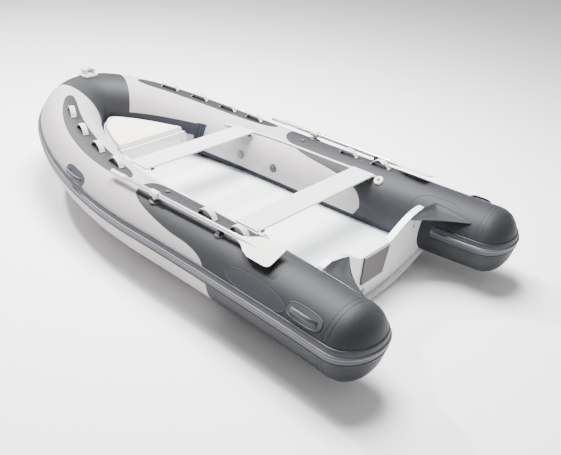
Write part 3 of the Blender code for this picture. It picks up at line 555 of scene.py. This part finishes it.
# seams: overlaps of the same cloth, a shade proud of the skin
SEAM = strip_profile(0.013, 0.0007, 0.002)
for word, side in SIDES.items():
    ring = [surface(side * (LAST - 0.004), 360.0 * k / 72, 0.0011) for k in range(72)]
    sweep("cap_seam_" + word, ring, strip_profile(0.0012, 0.0012, 0.002), "dark", closed=True)
    ring = [surface(side * (LAST - 0.030), 360.0 * k / 72, 0.0011) for k in range(72)]
    sweep("cap_seam_fore_" + word, ring, strip_profile(0.0012, 0.0010, 0.002), "dark",
          closed=True)
    inner = [surface(side * s, 172, 0.0002) for s in np.linspace(length_at(-0.70), length_at(0.74), 60)]
    sweep("inner_seam_" + word, inner, SEAM, "light")
    outer = [surface(side * s, -28, 0.0002) for s in np.linspace(0.45, length_at(0.70), 80)]
    sweep("outer_seam_" + word, outer, SEAM, "light")
    under = [surface(side * s, -30, 0.0012) for s in np.linspace(length_at(0.78), LAST - 0.04, 50)]
    sweep("under_seam_" + word, under, SEAM, "dark")
    # the gathered cloth at the end cap's upper side
    for k in range(9):
        degrees = 52 + k * 5.2
        pucker = [surface(side * (LAST + 0.075 + 0.022 * u), degrees + 1.2 * (k % 2), 0.0004)
                  for u in (0.0, 0.25, 0.5, 0.75, 1.0)]
        sweep(f"cap_pucker_{word}_{k}", pucker, round_profile(0.0016, 0.0012, 0.001, 5), "dark")


# ---- rubbing strake -----------------------------------------------------------------
TRANSOM_AFT = 1.225


def strake_line(rise):
    """Line round the whole boat at a height above the tube's centre."""
    half = []
    for s in np.linspace(0.0, LAST, 150):
        height = rise / float(blend_row(RADII, s))
        half.append(surface(s, math.degrees(math.asin(height))))
    tip, aft, out = blend_row(CENTRES, LAST), blend_row(AFT, LAST), blend_row(OUTBOARD, LAST)
    for step in range(1, 41):
        turn = math.pi * step / 40
        level = rise - 0.010 * step / 40
        share = math.sqrt(1 - (level / STERN_RADIUS) ** 2)
        point = (tip + out * STERN_RADIUS * share * math.cos(turn) + aft * CAP * share * math.sin(turn)
                 + np.array((0, 0, level)))
        normal = (out * math.cos(turn) * share / STERN_RADIUS + aft * math.sin(turn) * share / CAP
                  + np.array((0, 0, level / STERN_RADIUS ** 2)))
        half.append((Vector(point), Vector(normal).normalized()))
    for y in np.linspace(STERN - 0.01, TRANSOM_AFT + 0.05, 12):
        s = length_at(y)
        height = (rise - 0.010) / float(blend_row(RADII, s))
        half.append(surface(s, 180 - math.degrees(math.asin(height))))
    mirrored = [(Vector((-p.x, p.y, p.z)), Vector((-n.x, n.y, n.z))) for p, n in reversed(half[1:])]
    return mirrored + half


def curved_band(half, height, count=9):
    """A flat-topped strip whose back follows the tube."""
    tops = []
    for k in range(count):
        a = -half + 2 * half * k / (count - 1)
        edge = 1 - (abs(a) / half) ** 6 * 0.5
        tops.append((a, height * edge - a * a / (2 * RADIUS)))
    floor = -half * half / (2 * RADIUS) - 0.003
    return [(-half, floor)] + tops + [(half, floor)]


sweep("strake_band", strake_line(0.030), curved_band(0.036, 0.0055), "strake",
      replaces=["rub_strake"])
# raised bead along the strake, in the bead material whose lighter colour is painted highlight
sweep("strake_bead", [(p + n * 0.0045, n) for p, n in strake_line(0.030)],
      round_profile(0.0105, 0.0095, 0.002, 9), "bead")
for label, rise in (("upper", 0.0655), ("lower", -0.006)):
    sweep("strake_line_" + label, [(p + n * 0.0010, n) for p, n in strake_line(rise)],
          round_profile(0.0044, 0.0056, 0.002, 7), "line")

# ---- floor strip, locker flange and tabs --------------------------------------------
for word, side in SIDES.items():
    low = [(length_at(y), 237.0) for y in np.linspace(-0.73, 1.16, 40)]
    high = [(length_at(y), 203.0 - 2.5 * math.sin((y + 0.73) / 1.89 * math.pi))
            for y in np.linspace(1.16, -0.73, 40)]
    patch("floor_strip_" + word, low + high, "flange", side, stand=0.0022, slot="dark_tube_fabric",
          rim=0.002)
    seam = [surface(side * length_at(y), 208.5 - 2.5 * math.sin((y + 0.73) / 1.89 * math.pi), 0.0026)
            for y in np.linspace(-0.72, 1.15, 60)]
    sweep("floor_strip_line_" + word, seam, strip_profile(0.0022, 0.0012), "line")
    start, end = 0.12, length_at(-0.735)
    run = np.linspace(start, end, 40)
    top = [(s, level_angle(s, 0.438)) for s in run]
    bottom = [(s, level_angle(s, 0.352)) for s in reversed(run)]
    patch("locker_flange_" + word, top + bottom, "flange", side, stand=0.0022,
          slot="dark_tube_fabric", rim=0.002)
    tab_run = np.linspace(length_at(-0.742), length_at(-0.655), 8)
    top = [(s, level_angle(s, 0.444)) for s in tab_run]
    bottom = [(s, level_angle(s, 0.215)) for s in reversed(tab_run)]
    patch("locker_tab_" + word, top + bottom, "flange", side, stand=0.0022,
          slot="dark_tube_fabric", rim=0.002)
    for k, y in enumerate((-0.722, -0.690, -0.662)):
        s = length_at(y)
        low, high = level_angle(s, 0.218), level_angle(s, 0.441)
        rib = [surface(side * s, low + (high - low) * u / 12, 0.002) for u in range(13)]
        sweep(f"locker_tab_fold_{word}_{k + 1}", rib, round_profile(0.007, 0.006, 0.001, 7), "flange")

# ---- plain oval badge ---------------------------------------------------------------
for word, side in SIDES.items():
    middle, half_run, half_turn = length_at(1.073), 0.215, 13.5
    oval = [(middle + half_run * math.cos(2 * math.pi * k / 72),
             31 + half_turn * math.sin(2 * math.pi * k / 72) - 2.0 * math.cos(2 * math.pi * k / 72))
            for k in range(72)]
    patch("badge_" + word, oval, "badge", side, stand=0.0019, slot="dark_tube_fabric")
    sweep("badge_rim_" + word, [surface(side * s, d, 0.0019) for s, d in oval],
          strip_profile(0.0014, 0.0011), "badge_rim", closed=True)


# ---- gussets ------------------------------------------------------------------------
def spread(points, count):
    """Evenly spaced points along a polyline."""
    points = [np.array(p) for p in points]
    lengths = np.concatenate([[0], np.cumsum([np.linalg.norm(b - a)
                                              for a, b in zip(points, points[1:])])])
    wanted = np.linspace(0, lengths[-1], count)
    table = np.array(points)
    return [Vector([float(np.interp(w, lengths, table[:, axis])) for axis in range(3)])
            for w in wanted]


def thicken(obj, thickness, offset=0.0):
    solid = obj.modifiers.new("thickness", "SOLIDIFY")
    solid.thickness = thickness
    solid.offset = offset


def gusset(word, side):
    tip = (side * 0.292, 1.229, 0.424)
    shoulder = (side * 0.450, 1.229, 0.459)
    along = [tuple(surface(side * length_at(y), degrees, 0.004)[0])
             for y, degrees in ((1.236, 126), (1.32, 128), (1.40, 132), (1.49, 139))]
    border = spread([tip, shoulder] + along, 33)
    end = Vector(along[-1])
    first = Vector(tip)
    free = []
    for k in range(33):
        t = k / 32
        chord = first.lerp(end, t)
        pull = math.sin(math.pi * t)
        inward = Vector((side * 0.016, -0.012, -0.004)) * pull
        free.append(chord + inward)
    bm = bmesh.new()
    uv = bm.loops.layers.uv.new("uv")
    grid = []
    for row in range(13):
        u = row / 12
        line = []
        for k in range(33):
            t = k / 32
            point = free[k].lerp(border[k], u)
            slack = math.sin(math.pi * u) * math.sin(math.pi * t)
            line.append(bm.verts.new(point - Vector((0, 0, 0.007)) * slack
                                     - Vector((0, 0, 0.002)) * math.sin(9 * u + 2 * t) * slack))
        grid.append(line)
    for row in range(12):
        for k in range(32):
            face = bm.faces.new((grid[row][k], grid[row][k + 1], grid[row + 1][k + 1],
                                 grid[row + 1][k]))
            for loop in face.loops:
                loop[uv].uv = (loop.vert.co.x, loop.vert.co.y)
    bmesh.ops.remove_doubles(bm, verts=bm.verts, dist=1e-5)
    bmesh.ops.recalc_face_normals(bm, faces=bm.faces)
    if sum(face.normal.z * face.calc_area() for face in bm.faces) < 0:
        bmesh.ops.reverse_faces(bm, faces=bm.faces)
    mesh = bpy.data.meshes.new("gusset_" + word)
    bm.to_mesh(mesh)
    bm.free()
    mesh.shade_smooth()
    obj = dress(link_object("gusset_sheet_" + word, mesh), "dark",
                replaces=["transom_gusset_" + word])
    thicken(obj, 0.0016)
    # outline of the bonded patch behind the horn
    outline = at((1.12, 150), (1.10, 141), (1.12, 127), (1.17, 117), (1.28, 114), (1.36, 117),
                 (1.38, 124))
    sweep("gusset_base_line_" + word, tube_line(outline, side, 10, stand=0.0012),
          strip_profile(0.0012, 0.0011), "dark")


for word, side in SIDES.items():
    gusset(word, side)


# ---- webbing loops and carry handles ------------------------------------------------
def place_on_tube(y, degrees, side, stand=0.0):
    """Matrix with Z along the tube's outward normal and Y aft."""
    s = length_at(y)
    point, normal = surface(side * s, degrees, stand)
    ahead = surface(side * (s + 0.004), degrees, stand)[0]
    aft = (ahead - point).normalized()
    across = aft.cross(normal).normalized()
    aft = normal.cross(across)
    place = Matrix((across, aft, normal)).transposed().to_4x4()
    place.translation = point
    return place


def transformed(line, place):
    turn = place.to_3x3()
    return [(place @ Vector(p), (turn @ Vector(n)).normalized()) for p, n in line]


def arch_line(half, rise, flat, count=33):
    """A strap bowed up between two bonded ends, in the y-z plane."""
    line = []
    for k in range(count):
        t = -1 + 2 * k / (count - 1)
        y = t * (half + flat)
        inner = max(0.0, 1 - (y / half) ** 2) if abs(y) < half else 0.0
        line.append(Vector((0, y, 0.0022 + rise * inner ** 0.62)))
    out = []
    for k, point in enumerate(line):
        before, after = line[max(k - 1, 0)], line[min(k + 1, count - 1)]
        slope = (after - before).normalized()
        out.append((point, Vector((0, -slope.z, slope.y))))
    return out


LOOP_STATIONS = (-1.098, -0.852, -0.598, -0.352, 0.512, 0.765)
STRAP = [(-0.0175, -0.0012), (-0.0175, 0.0008), (-0.0155, 0.0014), (0.0155, 0.0014),
         (0.0175, 0.0008), (0.0175, -0.0012)]
for word, side in SIDES.items():
    for index, y in enumerate(LOOP_STATIONS):
        place = place_on_tube(y, 90, side, 0.0012)
        loop = sweep(f"loop_{word}_{index + 1}", transformed(arch_line(0.062, 0.042, 0.007), place),
                     STRAP, "webbing",
                     replaces=[f"grab_loop_{word}_{index + 1}"])
        for end, y_end in (("fore", -0.064), ("aft", 0.064)):
            pad = [(Vector((0, y_end + 0.012 * u, 0.0004)), Vector((0, 0, 1))) for u in (-1, 0, 1)]
            sweep(f"loop_pad_{word}_{index + 1}_{end}", transformed(pad, place),
                  strip_profile(0.019, 0.0022), "dark")


def handle(name, y, degrees, side, node, material):
    """Moulded base with a raised rim, and a U bar standing on it."""
    place = place_on_tube(y, degrees, side, 0.0010)
    s = length_at(y)
    reach, turn = 0.112, 0.040 / ARC
    outline = []
    for k in range(64):
        a = 2 * math.pi * k / 64
        u = math.copysign(abs(math.cos(a)) ** 0.62, math.cos(a))
        v = math.copysign(abs(math.sin(a)) ** 0.8, math.sin(a))
        outline.append((s + reach * u, degrees + turn * v))
    patch(name + "_base", outline, material, side, stand=0.0032, slot="grey_plastic", rim=0.0026)
    sweep(name + "_rim", [surface(side * a, b, 0.0030) for a, b in outline],
          round_profile(0.0022, 0.0022), material, closed=True)
    line = []
    for k in range(31):
        t = -1 + 2 * k / 30
        y_bar = t * 0.078
        lift = 0.0345 * (1 - abs(t) ** 5) + 0.002
        line.append(Vector((0, y_bar, lift)))
    pairs = []
    for k, point in enumerate(line):
        slope = (line[min(k + 1, 30)] - line[max(k - 1, 0)]).normalized()
        pairs.append((point, Vector((0, -slope.z, slope.y))))
    section = [(0.0125 * math.cos(2 * math.pi * k / 14), 0.0065 * math.sin(2 * math.pi * k / 14))
               for k in range(14)]
    sweep(name + "_bar", transformed(pairs, place), section, material,
          replaces=[node])


for word, side in SIDES.items():
    handle("handle_bow_" + word, -0.528, 28, side, f"carry_handle_{word}_bow", "handle")
    handle("handle_stern_" + word, 1.400, 36, side, f"carry_handle_{word}_stern", "dark_plastic")


# ---- oars ---------------------------------------------------------------------------
OAR_X, OAR_Z, BLADE_START, BLADE_END = 0.716, 0.527, 0.790, 1.095


def turned(name, profile, place, material, body="boat", steps=28, replaces=()):
    """A solid of revolution about the place's Z; profile is (radius, height)."""
    bm = bmesh.new()
    rings = []
    for radius, height in profile:
        rings.append([bm.verts.new((max(radius, 1e-5) * math.cos(2 * math.pi * k / steps),
                                    max(radius, 1e-5) * math.sin(2 * math.pi * k / steps), height))
                      for k in range(steps)])
    for first, second in zip(rings, rings[1:]):
        for k in range(steps):
            after = (k + 1) % steps
            bm.faces.new((first[k], first[after], second[after], second[k]))
    bmesh.ops.remove_doubles(bm, verts=bm.verts, dist=2e-5)
    bmesh.ops.holes_fill(bm, edges=bm.edges)
    bmesh.ops.recalc_face_normals(bm, faces=bm.faces)
    mesh = bpy.data.meshes.new(name)
    bm.to_mesh(mesh)
    bm.free()
    mesh.transform(place)
    mesh.shade_smooth()
    mesh.set_sharp_from_angle(angle=math.radians(38))
    return dress(link_object(name, mesh), material, body=body, replaces=replaces)


def along_y(x, y, z):
    place = Matrix(((1, 0, 0), (0, 0, -1), (0, 1, 0))).transposed().to_4x4()
    place.translation = (x, y, z)
    return place


def blade(word, side, body):
    """A thin spoon with a round spine that fades towards the tip."""
    length = BLADE_END - BLADE_START
    widths = [(0.0, 0.0165), (0.04, 0.0175), (0.075, 0.030), (0.115, 0.058), (0.16, 0.0745),
              (0.22, 0.0765), (length - 0.03, 0.0775), (length - 0.012, 0.074),
              (length - 0.003, 0.064), (length, 0.050)]
    stations = np.unique(np.concatenate([np.linspace(0, length, 46), [w[0] for w in widths]]))
    halves = np.interp(stations, [w[0] for w in widths], [w[1] for w in widths])
    bm = bmesh.new()
    rows = {}
    shares = np.linspace(-1, 1, 33)
    for face_side in (1, -1):
        rows[face_side] = []
        for along, half in zip(stations, halves):
            spine = 0.0155 * max(0.0, 1 - along / (length - 0.055))
            line = []
            for share in shares:
                across = float(share * half)
                skin = 0.0024 * (1 - abs(share) ** 8 * 0.6)
                ridge = 0.0
                if spine > 0:
                    width = spine * 1.05
                    ridge = spine * math.sqrt(max(0.0, 1 - (across / width) ** 2)) if (
                        abs(across) < width) else 0.0
                line.append(bm.verts.new((across, float(along), face_side * max(skin, ridge))))
            rows[face_side].append(line)
    for face_side in (1, -1):
        grid = rows[face_side]
        for first, second in zip(grid, grid[1:]):
            for k in range(len(shares) - 1):
                bm.faces.new((first[k], first[k + 1], second[k + 1], second[k]))
    top, low = rows[1], rows[-1]
    for index in range(len(stations) - 1):
        for k in (0, -1):
            bm.faces.new((top[index][k], top[index + 1][k], low[index + 1][k], low[index][k]))
    for row in (0, -1):
        for k in range(len(shares) - 1):
            bm.faces.new((top[row][k], top[row][k + 1], low[row][k + 1], low[row][k]))
    bmesh.ops.recalc_face_normals(bm, faces=bm.faces)
    mesh = bpy.data.meshes.new("blade_" + word)
    bm.to_mesh(mesh)
    bm.free()
    roll = Matrix.Rotation(side * BLADE_ROLL, 4, "Y")
    mesh.transform(Matrix.Translation((side * OAR_X, BLADE_START, OAR_Z)) @ roll)
    mesh.shade_smooth()
    mesh.set_sharp_from_angle(angle=math.radians(50))
    dress(link_object("blade_" + word, mesh), "plastic", body=body,
          replaces=["oar_blade_" + word])


BLADE_ROLL = math.radians(20)
for word, side in SIDES.items():
    body = word + "_oar"
    blade(word, side, body)
    for index, y in enumerate((-0.05, 0.30, 0.52)):
        turned(f"oar_stud_{word}_{index + 1}", [(0, 0.0024), (0.0020, 0.0022), (0.0030, 0.0008),
                                               (0.0030, -0.001), (0, -0.001)],
               Matrix.Translation((side * OAR_X, y, OAR_Z + 0.0148)), "black", body)
    turned(f"oar_ferrule_{word}", [(0.0152, 0.0), (0.0172, 0.001), (0.0172, 0.028), (0.0152, 0.030)],
           along_y(side * OAR_X, -0.140, OAR_Z), "plastic", body)

for word, side in SIDES.items():
    turned("oarlock_knob_" + word,
           [(0, 0.0095), (0.010, 0.0090), (0.0165, 0.0065), (0.0170, 0.0040), (0.009, 0.0030),
            (0.009, -0.002), (0, -0.002)],
           place_on_tube(0.140, 98, side, 0.0005), "dark_plastic")

# ---- rails, benches and small fittings ----------------------------------------------
for word, side in SIDES.items():
    low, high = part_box("seat_rail_" + word)
    line = []
    for y in np.linspace(low[1] + 0.004, high[1] - 0.004, 40):
        s = length_at(y)
        centre, radius = blend_row(CENTRES, s), float(blend_row(RADII, s))
        out = blend_row(OUTBOARD, s)
        reach = math.sqrt(radius ** 2 - (high[2] - centre[2]) ** 2) + 0.0200
        point = centre - out * reach
        line.append((Vector((side * point[0], point[1], (low[2] + high[2]) / 2)),
                     Vector((-side * out[0], -out[1], 0)).normalized()))
    sweep("rail_slot_" + word, line, strip_profile(0.0035, 0.0008, 0.001), "brown")
    hook = place_on_tube(0.834, 124, side, 0.013)
    turned("rail_end_boss_" + word, [(0, 0.004), (0.010, 0.004), (0.012, 0.002), (0.012, -0.001),
                                     (0, -0.001)], hook, "black")
def slab(name, low, high, material, body="boat", turn=0.0, pivot=None):
    bm = bmesh.new()
    bmesh.ops.create_cube(bm, size=1.0)
    size = Vector(high) - Vector(low)
    for vert in bm.verts:
        vert.co = Vector((vert.co.x * size.x, vert.co.y * size.y, vert.co.z * size.z))
    bmesh.ops.bevel(bm, geom=bm.edges[:], offset=min(size) * 0.25, segments=2, affect="EDGES")
    centre = (Vector(low) + Vector(high)) / 2
    bmesh.ops.translate(bm, verts=bm.verts, vec=centre)
    if turn:
        around = Vector(pivot or centre)
        bmesh.ops.rotate(bm, verts=bm.verts, cent=around, matrix=Matrix.Rotation(turn, 3, "X"))
    mesh = bpy.data.meshes.new(name)
    bm.to_mesh(mesh)
    bm.free()
    mesh.shade_smooth()
    mesh.set_sharp_from_angle(angle=math.radians(40))
    return dress(link_object(name, mesh), material, body=body)


# ---- bench end catches --------------------------------------------------------------
for word in ("front", "rear"):
    low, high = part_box("bench_pin_" + word)
    bench_low, bench_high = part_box("bench_" + word)
    middle = (Vector(low) + Vector(high)) / 2
    turned("bench_catch_" + word, [(0, 0.0030), (0.0085, 0.0028), (0.0100, 0.0014), (0.0100, 0.0002),
                                   (0.0046, 0.0002), (0.0046, low[2] - bench_high[2] + 0.001),
                                   (0, low[2] - bench_high[2] + 0.001)],
           Matrix.Translation((middle.x, middle.y, bench_high[2])), "bench",
           body=word + "_pin", replaces=["bench_pin_" + word])
    for side in (1, -1):
        x = side * (bench_high[0] - 0.046)
        bm_low = (x - 0.014, bench_high[1] - 0.008, bench_low[2] - 0.016)
        bm_high = (x + 0.014, bench_high[1] + 0.0015, bench_low[2] - 0.0006)
        slab(f"bench_clip_{word}_{'port' if side > 0 else 'starboard'}", bm_low, bm_high, "black",
             body=word + "_bench")

# ---- cushion ------------------------------------------------------------------------
def inflate(obj, pressure, limit, floor):
    """Press a closed skin outwards with the cloth solver, holding what lies on the lid.

    No point moves further than limit, so a flat top that reaches it everywhere stays flat."""
    mesh = obj.data
    before = np.array([v.co[:] for v in mesh.vertices])
    held = obj.vertex_groups.new(name="held")
    held.add([v.index for v in mesh.vertices if v.co.z < floor], 1.0, "REPLACE")
    cloth = obj.modifiers.new("fill", "CLOTH")
    cloth.settings.quality = 5
    cloth.settings.use_pressure = True
    cloth.settings.uniform_pressure_force = pressure
    cloth.settings.effector_weights.gravity = 0.0
    cloth.settings.vertex_group_mass = "held"
    scene = bpy.context.scene
    for step in range(1, 21):
        scene.frame_set(step)
    shaped = obj.evaluated_get(bpy.context.evaluated_depsgraph_get()).to_mesh()
    after = np.array([v.co[:] for v in shaped.vertices])
    obj.modifiers.remove(cloth)
    scene.frame_set(1)
    move = after - before
    length = np.linalg.norm(move, axis=1)
    move *= np.minimum(1.0, limit / np.maximum(length, 1e-9))[:, None]
    for vert, place in zip(mesh.vertices, before + move):
        vert.co = place


def apply_modifiers(obj):
    shaped = obj.evaluated_get(bpy.context.evaluated_depsgraph_get())
    mesh = bpy.data.meshes.new_from_object(shaped)
    obj.modifiers.clear()
    obj.data = mesh


CUSHION_PRESSURE = 4.0
CUSHION_MOST_MOVE = 0.0085
CUSHION_VOXEL = 0.0065


def cushion():
    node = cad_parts["locker_cushion"]
    low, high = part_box("locker_cushion")
    obj = link_object("cushion", node.data.copy())
    obj.matrix_world = node.matrix_world
    centre = (Vector(low) + Vector(high)) / 2
    for vert in obj.data.vertices:
        vert.co.x = centre.x + (vert.co.x - centre.x) * 0.985
        vert.co.y = centre.y + (vert.co.y - centre.y) * 0.98
        vert.co.z = low[2] + (vert.co.z - low[2]) * 0.80
    remesh = obj.modifiers.new("voxels", "REMESH")
    remesh.mode = "VOXEL"
    remesh.voxel_size = CUSHION_VOXEL
    apply_modifiers(obj)
    inflate(obj, CUSHION_PRESSURE, CUSHION_MOST_MOVE, low[2] + 0.004)
    smooth = obj.modifiers.new("even", "SMOOTH")
    smooth.factor = 0.5
    smooth.iterations = 8
    finer = obj.modifiers.new("finer", "SUBSURF")
    finer.levels = finer.render_levels = 1
    apply_modifiers(obj)
    obj.data.shade_smooth()
    for vert in obj.data.vertices:
        vert.co.z = max(vert.co.z, low[2] + 0.0006)
    dress(obj, "vinyl", body="locker_top", replaces=["locker_cushion"])


cushion()


# ---- transom fittings ---------------------------------------------------------------
PAD_LOW, PAD_HIGH = (Vector(corner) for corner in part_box("motor_pad"))
# a lighter copy of the pad rubber over the pad's top edge: painted highlight on the top
slab("motor_pad_painted_highlight", (PAD_LOW.x + 0.004, PAD_HIGH.y - 0.0105, PAD_HIGH.z - 0.007),
     (PAD_HIGH.x - 0.002, PAD_HIGH.y + 0.0015, PAD_HIGH.z + 0.001), "pad_painted_highlight")


def ring(name, centre, axis, radius, wire, material, slot):
    """A closed ring of round wire."""
    axis = Vector(axis).normalized()
    first = axis.orthogonal().normalized()
    second = axis.cross(first)
    line = []
    for k in range(28):
        out = first * math.cos(2 * math.pi * k / 28) + second * math.sin(2 * math.pi * k / 28)
        line.append((Vector(centre) + out * radius, out))
    section = [(wire * math.cos(2 * math.pi * k / 10), wire * math.sin(2 * math.pi * k / 10))
               for k in range(10)]
    return sweep(name, line, section, material, closed=True)


# towing eyes on three-cornered plates, one each side of the transom
RAKE = math.radians(5)
FACE = Vector((0, math.cos(RAKE), -math.sin(RAKE)))
RISE = Vector((0, math.sin(RAKE), math.cos(RAKE)))


def on_transom(x, z, stand=0.0):
    return Vector((x, 1.215, 0.337)) + RISE * (z - 0.337) + FACE * (0.0005 + stand)


def polygon_plate(name, corners, thickness, material):
    bm = bmesh.new()
    back = [bm.verts.new(on_transom(x, z, 0.0)) for x, z in corners]
    front = [bm.verts.new(on_transom(x, z, thickness)) for x, z in corners]
    bm.faces.new(back)
    bm.faces.new(front)
    for k in range(len(corners)):
        after = (k + 1) % len(corners)
        bm.faces.new((back[k], back[after], front[after], front[k]))
    bmesh.ops.recalc_face_normals(bm, faces=bm.faces)
    mesh = bpy.data.meshes.new(name)
    bm.to_mesh(mesh)
    bm.free()
    mesh.shade_smooth()
    mesh.set_sharp_from_angle(angle=math.radians(40))
    return dress(link_object(name, mesh), material)


for word, side in SIDES.items():
    corners = [(side * (0.365 + 0.034 * dx), 0.345 + 0.034 * dz)
               for dx, dz in ((-1.0, 0.75), (0.9, 0.95), (1.0, 0.7), (0.35, -0.95), (0.05, -1.0),
                              (-0.95, 0.35))]
    polygon_plate("eye_plate_" + word, corners, 0.0022, "gelcoat_part")
    ring("eye_ring_" + word, on_transom(side * 0.368, 0.347, 0.006), FACE, 0.0095, 0.0026, "steel",
         "stainless_steel")
polygon_plate("drain_plate", [(0.262, 0.080), (0.262, 0.112), (0.290, 0.112), (0.290, 0.080)],
              0.004, "steel")
ring("drain_ring", on_transom(0.276, 0.096, 0.0075), (1, 0, 0), 0.0105, 0.0028, "steel",
     "stainless_steel")

# ---- simple carried-over materials --------------------------------------------------
LOOKS = {"hull_shell": "gelcoat", "deck_floor": "deck", "transom": "gelcoat",
         "locker_bulkhead": "gelcoat", "locker_lid": "gelcoat", "locker_frame": "flange",
         "keel_guard": "grey", "motor_pad": "pad", "drain_plug": "steel", "bow_fairlead": "plastic",
         "bow_roller": "brown", "relief_valve": "dark_plastic"}
for prefix, look in (("bench_front", "bench"), ("bench_rear", "bench"), ("bench_pin", "black"),
                     ("seat_rail", "plastic"), ("rail_end", "cream"),
                     ("oar_shaft", "alloy"), ("oar_grip", "plastic"), ("oar_collar", "plastic"),
                     ("oarlock_base", "black"),
                     ("oar_clip", "black"), ("valve_body", "mid"), ("valve_cap", "mid"),
                     ("locker_latch", "plastic")):
    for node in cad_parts:
        if node.startswith(prefix):
            LOOKS[node] = look
for node, look in LOOKS.items():
    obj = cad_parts[node]
    for index in range(len(obj.material_slots)):
        obj.material_slots[index].material = MATERIALS[look]


# ---- stage --------------------------------------------------------------------------
FLOOR_DROP = 0.001
FLOOR_HALF = 30
WORLD_STRENGTH = 0.55


def make_stage():
    bm = bmesh.new()
    bmesh.ops.create_grid(bm, x_segments=1, y_segments=1, size=FLOOR_HALF)
    mesh = bpy.data.meshes.new("floor")
    bm.to_mesh(mesh)
    bm.free()
    floor = link_object("floor", mesh)
    floor.location.z = -FLOOR_DROP
    s = Shader("floor")
    s.put(Base_Color=(0.93, 0.93, 0.93, 1), Roughness=0.9)
    floor.data.materials.append(s.material)
    world = bpy.data.worlds.new("studio")
    bpy.context.scene.world = world
    world.use_nodes = True
    background = world.node_tree.nodes["Background"]
    background.inputs["Color"].default_value = (1, 1, 1, 1)
    background.inputs["Strength"].default_value = WORLD_STRENGTH

    def lamp(name, place, target, size, power):
        data = bpy.data.lights.new(name, "AREA")
        data.shape = "RECTANGLE"
        data.size, data.size_y = size
        data.energy = power
        lamp = bpy.data.objects.new(name, data)
        aim = (Vector(target) - Vector(place)).to_track_quat("-Z", "Y")
        lamp.matrix_world = Matrix.Translation(place) @ aim.to_matrix().to_4x4()
        bpy.context.scene.collection.objects.link(lamp)

    lamp("overhead", (-0.5, -0.5, 4.6), (0, 0, 0), (2.6, 3.0), 1150)
    lamp("key", (0.1, -5.2, 5.2), (0, 0.2, 0.2), (0.5, 0.5), 820)


make_stage()
